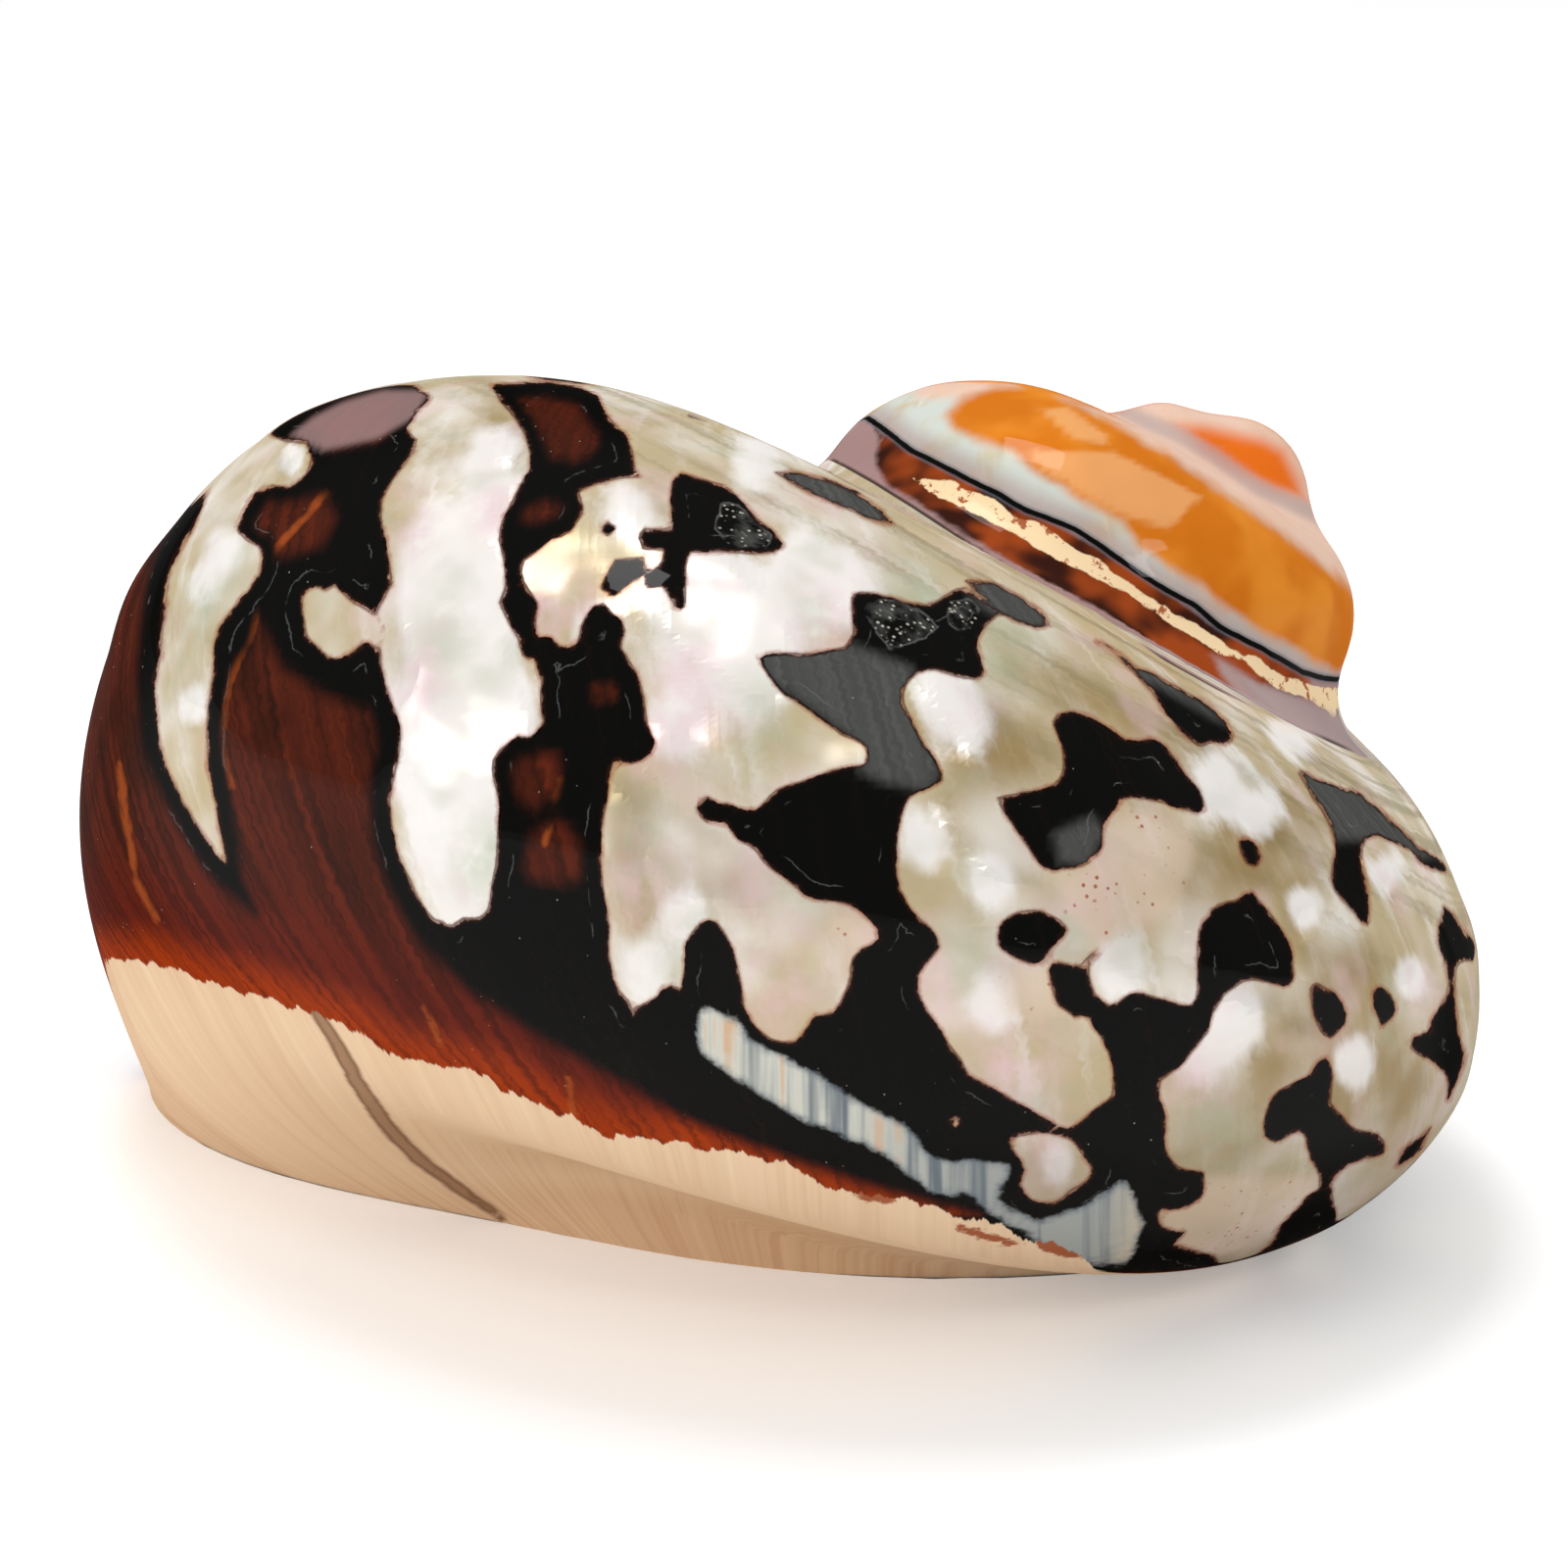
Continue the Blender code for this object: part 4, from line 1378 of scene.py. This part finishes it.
@dataclass(frozen=True)
class LayeredFinish:
    """The polished outside: pearl under black, rust and grey layers, the peach base and the amber spire.

    Each pair of lines says how many growth lines one turn holds on the hidden sides, and how many
    one pixel holds on the photographed side.
    """

    gloss: Gloss = Gloss()
    roughness: float = 0.42
    pearl_polish: float = 0.14
    pearl_metal: float = 0.22
    relief_depth: float = 0.0013
    tooth_lines: tuple[float, float] = (240.0, 0.03)
    base_lines: tuple[float, float] = (620.0, 0.085)
    band_lines: tuple[float, float] = (260.0, 0.06)
    base_slant: float = 1.33
    # The pearl's own white, also used for its painted highlights.
    pearl_white_and_highlight: tuple[float, ...] = tone(254, 250, 246)
    pearl_cream: tuple[float, ...] = tone(202, 184, 146)
    pearl_tan: tuple[float, ...] = tone(164, 138, 92)
    pearl_olive: tuple[float, ...] = tone(140, 124, 84)
    pearl_pink: tuple[float, ...] = tone(236, 200, 206)
    pearl_green: tuple[float, ...] = tone(184, 194, 166)
    pearl_painted_shade: tuple[float, ...] = tone(132, 116, 98)
    black: tuple[float, ...] = tone(9, 9, 8)
    black_brown: tuple[float, ...] = tone(28, 17, 10)
    rust_dark: tuple[float, ...] = tone(54, 23, 14)
    rust_red: tuple[float, ...] = tone(98, 38, 22)
    rust_bright: tuple[float, ...] = tone(168, 58, 10)
    crimson: tuple[float, ...] = tone(108, 28, 12)
    ember: tuple[float, ...] = tone(172, 82, 32)
    grey: tuple[float, ...] = tone(74, 75, 72)
    grey_pale: tuple[float, ...] = tone(120, 122, 120)
    speck: tuple[float, ...] = tone(206, 200, 186)
    peach: tuple[float, ...] = tone(230, 195, 158)
    peach_pale: tuple[float, ...] = tone(245, 220, 188)
    peach_painted_light: tuple[float, ...] = tone(255, 226, 192)
    peach_deep: tuple[float, ...] = tone(216, 174, 136)
    streak_brown: tuple[float, ...] = tone(138, 92, 60)
    worn: tuple[float, ...] = tone(232, 206, 184)
    amber: tuple[float, ...] = tone(228, 140, 44)
    amber_deep: tuple[float, ...] = tone(210, 116, 24)
    amber_painted_reflection: tuple[float, ...] = tone(238, 180, 122)
    pale_peach: tuple[float, ...] = tone(234, 194, 172)
    orange: tuple[float, ...] = tone(232, 112, 26)
    cream: tuple[float, ...] = tone(248, 220, 176)
    rust_cream: tuple[float, ...] = tone(160, 70, 26)
    mauve: tuple[float, ...] = tone(168, 136, 134)
    lilac: tuple[float, ...] = tone(178, 160, 158)
    blue_grey: tuple[float, ...] = tone(92, 108, 120)
    slate: tuple[float, ...] = tone(112, 122, 130)
    band_white: tuple[float, ...] = tone(214, 214, 202)
    ice: tuple[float, ...] = tone(208, 214, 206)

    def pearl(self, board: Board, where: Socket, growth: Socket, bearing: Socket) -> Socket:
        """Return the colour of the bare pearl, with painted highlights on its white lumps and painted shade
        towards the ground.
        """
        cloud = board.grain(where, 7.0)
        drift = board.grain(where, 5.0)
        lines = board.grain(board.stretched(bearing, growth, 55.0, 5.0), 1.0, 3.0, 0.6)
        flow = board.grain(board.stretched(growth, bearing, 90.0, 9.0), 1.0, 4.0, 0.6)
        base = board.mix(cloud.step(0.40, 0.78) * 0.7, self.pearl_cream, self.pearl_white_and_highlight)
        base = board.mix(flow.step(0.50, 0.72) * 0.45, base, self.pearl_white_and_highlight)
        tanned = cloud.step(0.75, 0.35) * 0.5 + flow.step(0.6, 0.4) * 0.15 + 0.35
        base = board.mix(board.read(Mark.TAN) * tanned, base, self.pearl_tan)
        near_suture = bearing.step(0.26, 0.10)
        base = board.mix(lines.step(0.46, 0.66) * (near_suture * 0.45 + 0.15), base, self.pearl_olive)
        ripple = board.grain(where, 2.2, 3.0, 0.6)
        pink = board.read(Mark.PINK) * ripple.step(0.25, 0.6)
        green = board.read(Mark.GREEN) * ripple.step(0.75, 0.4)
        # Painted highlights: the white lumps lighten the pearl where its knobs catch the light, over its own
        # white streaks.
        white = board.read(Mark.WHITE) + (board.grain(where, 3.2) - 0.5) * 0.7 + (flow - 0.5) * 0.9
        base = board.mix(white.step(0.25, 0.80) * 0.9, base, self.pearl_white_and_highlight)
        base = board.mix((drift.step(0.53, 0.72) * 0.34 + pink * 0.55).clipped(), base, self.pearl_pink)
        base = board.mix((drift.step(0.44, 0.27) * 0.30 + green * 0.5).clipped(), base, self.pearl_green)
        # Painted shade: the pearl darkens towards the ground, from 25 mm down to 7 mm.
        base = board.mix(board.upright(where).step(25.0, 7.0) * 0.42, base, self.pearl_painted_shade)
        worn = board.read(Mark.WORN)
        specks = board.spots(where, 0.62).step(0.24, 0.12) * board.grain(where, 1.8).step(0.48, 0.58)
        base = board.mix(worn * 0.5, base, self.worn)
        return board.mix(worn * specks * 0.85, base, self.rust_cream)

    def dark(self, board: Board, where: Socket, growth: Socket, bearing: Socket, depth: Socket) -> Socket:
        """Return the colour of the dark outer layer."""
        flow = board.grain(board.stretched(growth, bearing, 300.0, 8.0), 1.0, 4.0, 0.6)
        cloud = board.grain(where, 7.0)
        fringe = board.read(Mark.PEACH).step(-3.0, -0.1)
        rust = board.mix(flow.step(0.30, 0.75), self.rust_dark, self.rust_red)
        rust = board.mix(cloud.step(0.45, 0.72) * 0.55, rust, self.black_brown)
        rust = board.mix(board.read(Mark.PEACH).step(-9.0, -1.5) * 0.7, rust, self.crimson)
        shaded = flow.step(0.62, 0.40) * board.read(Mark.PEACH).step(-12.0, -2.0) * 0.4
        rust = board.mix(shaded, rust, self.black_brown)
        rust = board.mix(fringe * flow.step(0.2, 0.65), rust, self.rust_bright)
        crack = board.read(Mark.CRACK) + (board.grain(where, 1.1) - 0.5) * 0.5
        rust = board.mix(crack.step(0.34, 0.02) * 0.65, rust, self.ember)
        deep = board.mix(flow.step(0.5, 0.75) * 0.35, self.black, self.black_brown)
        colour = board.mix(board.read(Mark.RUST) * depth.step(0.35, 1.5), deep, rust)
        hairs = board.grain(board.stretched(growth, bearing, 420.0, 4.0), 1.0, 3.0)
        grey = board.mix(hairs.step(0.35, 0.8) * 0.35, self.grey, self.grey_pale)
        colour = board.mix(board.read(Mark.GREY) * 0.9, colour, grey)
        inset = board.read(Mark.INSET) + (board.grain(where, 0.9, 3.0) - 0.5) * 0.5
        speckle = board.spots(where, 0.36).step(0.36, 0.14) * board.grain(where, 1.2, 3.0).step(0.38, 0.52)
        inner = board.mix(board.grain(where, 1.3, 4.0).step(0.4, 0.7), self.black, self.grey)
        inner = board.mix(speckle * 0.8, inner, self.speck)
        colour = board.mix(inset.step(-0.05, 0.12) * 0.9, colour, inner)
        # Mauve lilac patches; the same measure carries the painted suture shade.
        colour = board.mix(board.read(Mark.LILAC_AND_SUTURE_SHADE) * 0.6, colour, self.mauve)
        outline = abs(inset).step(0.10, 0.02) * board.grain(where, 2.4).step(0.42, 0.6) * 0.4
        vein = abs(depth - 0.95).step(0.06, 0.02) * board.grain(where, 2.3).step(0.53, 0.62) * 0.3
        colour = board.mix(outline.most(vein), colour, self.grey_pale)
        dust = board.spots(where, 0.9).step(0.07, 0.03) * board.grain(where, 4.5).step(0.52, 0.62)
        colour = board.mix(dust * 0.7, colour, self.speck)
        return board.mix(depth.step(0.22, 0.02) * 0.8, colour, self.rust_dark)

    def base(self, board: Board, where: Socket, growth: Socket, bearing: Socket) -> Socket:
        """Return the colour of the peach base with its growth lines, and painted light on the faces that look
        down.
        """
        across = board.ruled(growth - bearing * self.base_slant, *self.base_lines)
        lines = board.grain(board.stretched(across, bearing, 1.0, 3.0), 1.0, 3.0, 0.62)
        broad = board.grain(board.stretched(across, bearing, 0.17, 2.0), 1.0, 1.0)
        colour = board.mix(lines.step(0.30, 0.56), self.peach_deep, self.peach)
        colour = board.mix(lines.step(0.55, 0.74) * 0.6, colour, self.peach_pale)
        colour = board.mix(broad.step(0.45, 0.68) * 0.3, colour, self.peach_deep)
        # Painted light: faces that look down are lightened, to cancel the shade that falls on them.
        facing = board.upright(board.add("ShaderNodeTexCoord", {}, {}, "Normal"))
        colour = board.mix(facing.step(-0.15, -0.65) * 0.5, colour, self.peach_painted_light)
        streak = board.read(Mark.STREAK) + (board.grain(where, 1.6) - 0.5) * 0.3
        patch = (board.read(Mark.PATCH) + (board.grain(where, 1.4, 4.0, 0.7) - 0.5) * 1.6).step(-0.1, 0.15)
        colour = board.mix(patch * 0.9, colour, self.rust_cream)
        colour = board.mix(streak.step(-0.2, 0.12) * 0.75, colour, self.streak_brown)
        return board.mix(abs(streak - 0.1).step(0.16, 0.02) * 0.3, colour, self.rust_dark)

    def spire(self, board: Board, where: Socket, pearl: Socket) -> Socket:
        """Return the colour of the spire, with painted reflections on its amber and painted shade along its
        sutures and under the whorl.
        """
        glow = board.grain(where, 5.0)
        shimmer = board.grain(where, 3.0)
        colour = board.mix(shimmer.step(0.4, 0.7), self.ice, pearl)
        line = board.read(Mark.LINE)
        colour = board.mix(line.step(-2.0, -0.3) * 0.6, colour, self.mauve)
        colour = board.mix(board.read(Mark.PALE) * 0.85, colour, self.pale_peach)
        edge = board.read(Mark.AMBER) + (board.grain(where, 2.4) - 0.5) * 0.8
        amber = board.mix(glow.step(0.4, 0.7), self.amber_deep, self.amber)
        # Painted reflection: a paler amber where a soft box shows in the spire's polish.
        amber = board.mix(board.read(Mark.PAINTED_REFLECTION) * 0.6, amber, self.amber_painted_reflection)
        colour = board.mix(edge.step(-0.5, 0.5), colour, amber)
        colour = board.mix(board.read(Mark.TIP), colour, self.orange)
        wander = (board.grain(where, 1.3, 3.0) - 0.5) * 0.6
        # Below the black line: rust tones, darkened as painted shade under the whorl towards the suture.
        rusty = board.mix(glow.step(0.4, 0.62), self.rust_dark, self.rust_cream)
        below = board.mix((board.read(Mark.RUST_AND_SHADE) + wander).step(-0.25, 0.25), self.mauve, rusty)
        colour = board.mix(line.step(-0.1, 0.15), colour, below)
        ragged = board.read(Mark.CREAM) + wander
        mottle = board.grain(where, 1.1, 4.0, 0.7)
        cream = board.mix(mottle.step(0.56, 0.62) * 0.9, self.cream, self.rust_cream)
        colour = board.mix(ragged.step(-0.06, 0.06), colour, cream)
        # Lilac patches and painted shade along the upper suture, in one grey-mauve.
        colour = board.mix(board.read(Mark.LILAC_AND_SUTURE_SHADE) * 0.8, colour, self.lilac)
        thick = abs(line + wander * 0.25)
        colour = board.mix(thick.step(0.40, 0.22) * 0.5, colour, self.blue_grey)
        colour = board.mix(thick.step(0.21, 0.12), colour, self.black)
        # The last suture's dark line, deepened as painted shade in its groove.
        return board.mix(abs(board.read(Mark.SUTURE)).step(0.30, 0.10) * 0.85, colour, self.black_brown)

    def band(self, board: Board, where: Socket, growth: Socket, bearing: Socket, depth: Socket) -> Socket:
        """Return the colour of the blue and white striped band."""
        across = board.ruled(growth, *self.band_lines)
        stripes = board.grain(board.stretched(across, bearing, 1.0, 4.0), 1.0)
        cloud = board.grain(where, 2.6)
        colour = board.mix(stripes.step(0.32, 0.56), self.slate, self.band_white)
        colour = board.mix(growth.step(-0.41, -0.46) * 0.55, colour, self.slate)
        tint = growth.step(-0.47, -0.41) * cloud.step(0.38, 0.6)
        colour = board.mix(stripes.step(0.52, 0.66) * tint * 0.85, colour, self.peach_deep)
        colour = board.mix(growth.step(-0.49, -0.53) * cloud.step(0.3, 0.5), colour, self.cream)
        return board.mix(depth.step(0.5, 0.0) * 0.6, colour, self.slate)

    def material(self) -> bpy.types.Material:
        """Build the whole finish."""
        board = Board("layered_shell")
        where = board.place()
        growth, bearing = board.read(Mark.GROWTH), board.read(Mark.BEARING)
        ragged = (board.grain(where, 0.8, 4.0, 0.7) - 0.5) * 0.5 + (board.grain(where, 2.6, 2.0) - 0.5) * 0.5
        depth = board.read(Mark.LAYER) + ragged
        across = board.ruled(growth, *self.tooth_lines)
        teeth = board.grain(board.stretched(across, bearing, 1.0, 4.0), 1.0, 4.0, 0.62)
        peach_depth = board.read(Mark.PEACH) + (teeth - 0.5) * 2.6
        band_depth = board.read(Mark.BAND) + ragged * 1.4
        pearl = self.pearl(board, where, growth, bearing)
        dark = self.dark(board, where, growth, bearing, depth)
        dark_share = depth.step(-0.03, 0.05)
        peach_share = peach_depth.step(-0.06, 0.06)
        band_share = band_depth.step(-0.15, 0.2)
        rim = depth.step(-0.30, -0.02) * 0.6
        colour = board.mix(rim, pearl, self.rust_cream)
        colour = board.mix(dark_share, colour, dark)
        colour = board.mix(band_share, colour, self.band(board, where, growth, bearing, band_depth))
        colour = board.mix(peach_share, colour, self.base(board, where, growth, bearing))
        on_spire = board.read(Mark.SPIRE).step(-0.05, 0.05)
        colour = board.mix(on_spire, colour, self.spire(board, where, pearl))
        bare = (1.0 - dark_share) * (1.0 - peach_share) * (1.0 - band_share) * (1.0 - on_spire * 0.8)
        clear = board.read(Mark.LAYER).step(0.1, -0.1) * board.read(Mark.PEACH).step(0.3, -0.3)
        bumps = board.grain(where, 4.8, 1.0, 0.4)
        relief = clear * (bumps * (board.read(Mark.TAN) * 0.5 + 0.6) + board.read(Mark.WHITE) * 0.35)
        rough, metal = self.roughness - bare * self.pearl_polish, bare * self.pearl_metal
        return board.close(self.gloss.shader(board, colour, rough, metal, relief, self.relief_depth))


@dataclass(frozen=True)
class PearlLining:
    """The bare pearl of the hollow, the inner lip and the rim."""

    gloss: Gloss = Gloss(coat_roughness=0.16)
    roughness: float = 0.34
    metal: float = 0.3
    relief_depth: float = 0.0006
    white: tuple[float, ...] = tone(240, 232, 218)
    warm: tuple[float, ...] = tone(222, 200, 168)
    pink: tuple[float, ...] = tone(236, 206, 202)
    green: tuple[float, ...] = tone(196, 208, 192)

    def material(self) -> bpy.types.Material:
        """Build the finish."""
        board = Board("pearl_lining")
        where = board.place()
        cloud = board.grain(where, 11.0, 3.0)
        drift = board.grain(where, 6.5, 3.0)
        colour = board.mix(cloud.step(0.35, 0.68), self.white, self.warm)
        colour = board.mix(drift.step(0.52, 0.72) * 0.5, colour, self.pink)
        colour = board.mix(drift.step(0.46, 0.3) * 0.45, colour, self.green)
        relief = board.grain(where, 7.0, 2.0, 0.4) + board.grain(where, 0.6, 3.0) * 0.03
        shader = self.gloss.shader(board, colour, self.roughness, self.metal, relief, self.relief_depth)
        return board.close(shader)


@dataclass
class HollowAndRim:
    """The hollow, the inner lip's pad and the rim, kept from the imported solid."""

    clear_of_skin: float = 0.0007
    aligned: float = 0.35

    def build(self, skin: bpy.types.Object) -> bpy.types.Object:
        """Copy the solid's mesh and keep what isn't its outer skin.

        Args:
            skin: The outer skin's object.

        Returns:
            The hollow's object.
        """
        node = bpy.data.objects[SHELL_NODE]
        mesh = node.data.copy()
        mesh.name = "hollow_and_rim"
        thing = bpy.data.objects.new("hollow_and_rim", mesh)
        bpy.context.scene.collection.objects.link(thing)
        points = OuterSkin.points_of(skin).tolist()
        tree = BVHTree.FromPolygons(points, [tuple(face.vertices) for face in skin.data.polygons])
        edit = bmesh.new()
        edit.from_mesh(mesh)
        outer = []
        for face in edit.faces:
            _, normal, _, gap = tree.find_nearest(face.calc_center_median())
            if gap < self.clear_of_skin and normal.dot(face.normal) > self.aligned:
                outer.append(face)
        bmesh.ops.delete(edit, geom=outer, context="FACES")
        edit.to_mesh(mesh)
        edit.free()
        mesh.materials.clear()
        for polygon in mesh.polygons:
            polygon.use_smooth = True
        mesh.set_sharp_from_angle(angle=math.radians(42.0))
        return thing


@dataclass
class Studio:
    """A pale floor and soft light from above and from the sides."""

    floor_half: float = 3.0
    floor_colour: tuple[float, ...] = (0.90, 0.90, 0.90, 1.0)
    floor_glow: float = 0.28
    fill: float = 0.74
    mirrored: float = 0.30
    backdrop: float = 1.0

    def floor(self) -> bpy.types.Object:
        """Make the floor."""
        half = self.floor_half
        corners = np.array([(-half, -half, 0.0), (half, -half, 0.0), (half, half, 0.0), (-half, half, 0.0)])
        floor = OuterSkin.mesh_of("floor", corners, [(0, 1, 2, 3)])
        board = Board("pale_floor")
        speckle = board.grain(board.place(), 40.0, 2.0)
        colour = board.mix(speckle * 0.03, self.floor_colour, (0.80, 0.80, 0.80, 1.0))
        matt = board.add("ShaderNodeBsdfDiffuse", {}, {"Color": colour})
        straight = board.add("ShaderNodeLightPath", {}, {}, "Is Camera Ray")
        lit = board.add("ShaderNodeEmission", {}, {"Color": colour, "Strength": straight * self.floor_glow})
        floor.data.materials.append(board.close(board.add("ShaderNodeAddShader", {}, {0: matt, 1: lit})))
        return floor

    def lamp(
        self,
        name: str,
        place: tuple[float, ...],
        aim: tuple[float, ...],
        size: tuple[float, float],
        power: float,
    ) -> None:
        """Add a soft box.

        Args:
            name: Its name.
            place: Where it hangs.
            aim: The point that it faces.
            size: Its width and height.
            power: Its power, in watts.
        """
        data = bpy.data.lights.new(name, "AREA")
        data.shape = "RECTANGLE"
        data.size, data.size_y = size
        data.energy = power
        lamp = bpy.data.objects.new(name, data)
        lamp.location = place
        lamp.rotation_euler = (Vector(aim) - Vector(place)).to_track_quat("-Z", "Y").to_euler()
        bpy.context.scene.collection.objects.link(lamp)

    def surroundings(self) -> None:
        """Set a tent of soft light that is white behind the object and dim in its polish."""
        world = bpy.data.worlds.new("studio")
        world.use_nodes = True
        bpy.context.scene.world = world
        tree = world.node_tree
        tree.nodes.clear()
        path = tree.nodes.new("ShaderNodeLightPath")
        under = tree.nodes.new("ShaderNodeBackground")
        under.inputs["Color"].default_value = (1.0, 1.0, 1.0, 1.0)
        under.inputs["Strength"].default_value = self.fill
        for seen_by, strength in (("Is Glossy Ray", self.mirrored), ("Is Camera Ray", self.backdrop)):
            over = tree.nodes.new("ShaderNodeBackground")
            over.inputs["Color"].default_value = (1.0, 1.0, 1.0, 1.0)
            over.inputs["Strength"].default_value = strength
            mix = tree.nodes.new("ShaderNodeMixShader")
            tree.links.new(path.outputs[seen_by], mix.inputs[0])
            tree.links.new(under.outputs[0], mix.inputs[1])
            tree.links.new(over.outputs[0], mix.inputs[2])
            under = mix
        output = tree.nodes.new("ShaderNodeOutputWorld")
        tree.links.new(under.outputs[0], output.inputs["Surface"])
        bpy.context.scene.view_settings.view_transform = "Standard"

    def build(self) -> bpy.types.Object:
        """Set the whole studio.

        Returns:
            The floor.
        """
        self.surroundings()
        self.lamp("top_box", (-0.10, 0.05, 0.70), (0.0, 0.0, 0.02), (0.24, 0.20), 1.5)
        self.lamp("left_box", (-0.70, -0.40, 0.30), (0.0, 0.0, 0.02), (0.12, 0.26), 1.0)
        self.lamp("front_box", (0.32, -0.68, 0.52), (0.0, 0.0, 0.02), (0.16, 0.12), 0.7)
        return self.floor()


def main() -> None:
    """Build the studio, the outer skin and the hollow, and report each piece."""
    logging.basicConfig(level=logging.INFO, format="%(name)s: %(message)s")
    outer = OuterSkin(coil=Coil(), eye=PhotoEye())
    skin = outer.build()
    skin.data.materials.clear()
    skin.data.materials.append(LayeredFinish().material())
    hollow = HollowAndRim().build(skin)
    outer.tuck(skin)
    LOG.info("outer skin: %d faces", len(skin.data.polygons))
    hollow.data.materials.append(PearlLining().material())
    LOG.info("hollow and rim: %d faces", len(hollow.data.polygons))
    for piece in (skin, hollow):
        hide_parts(SHELL_NODE)
        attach(piece, "root")
    Studio().build()
    outer.eye.add_camera(outer.pole)
    LOG.info("camera stands at %s", np.round(outer.eye.place(outer.pole), 4).tolist())


if __name__ == "__main__":
    main()
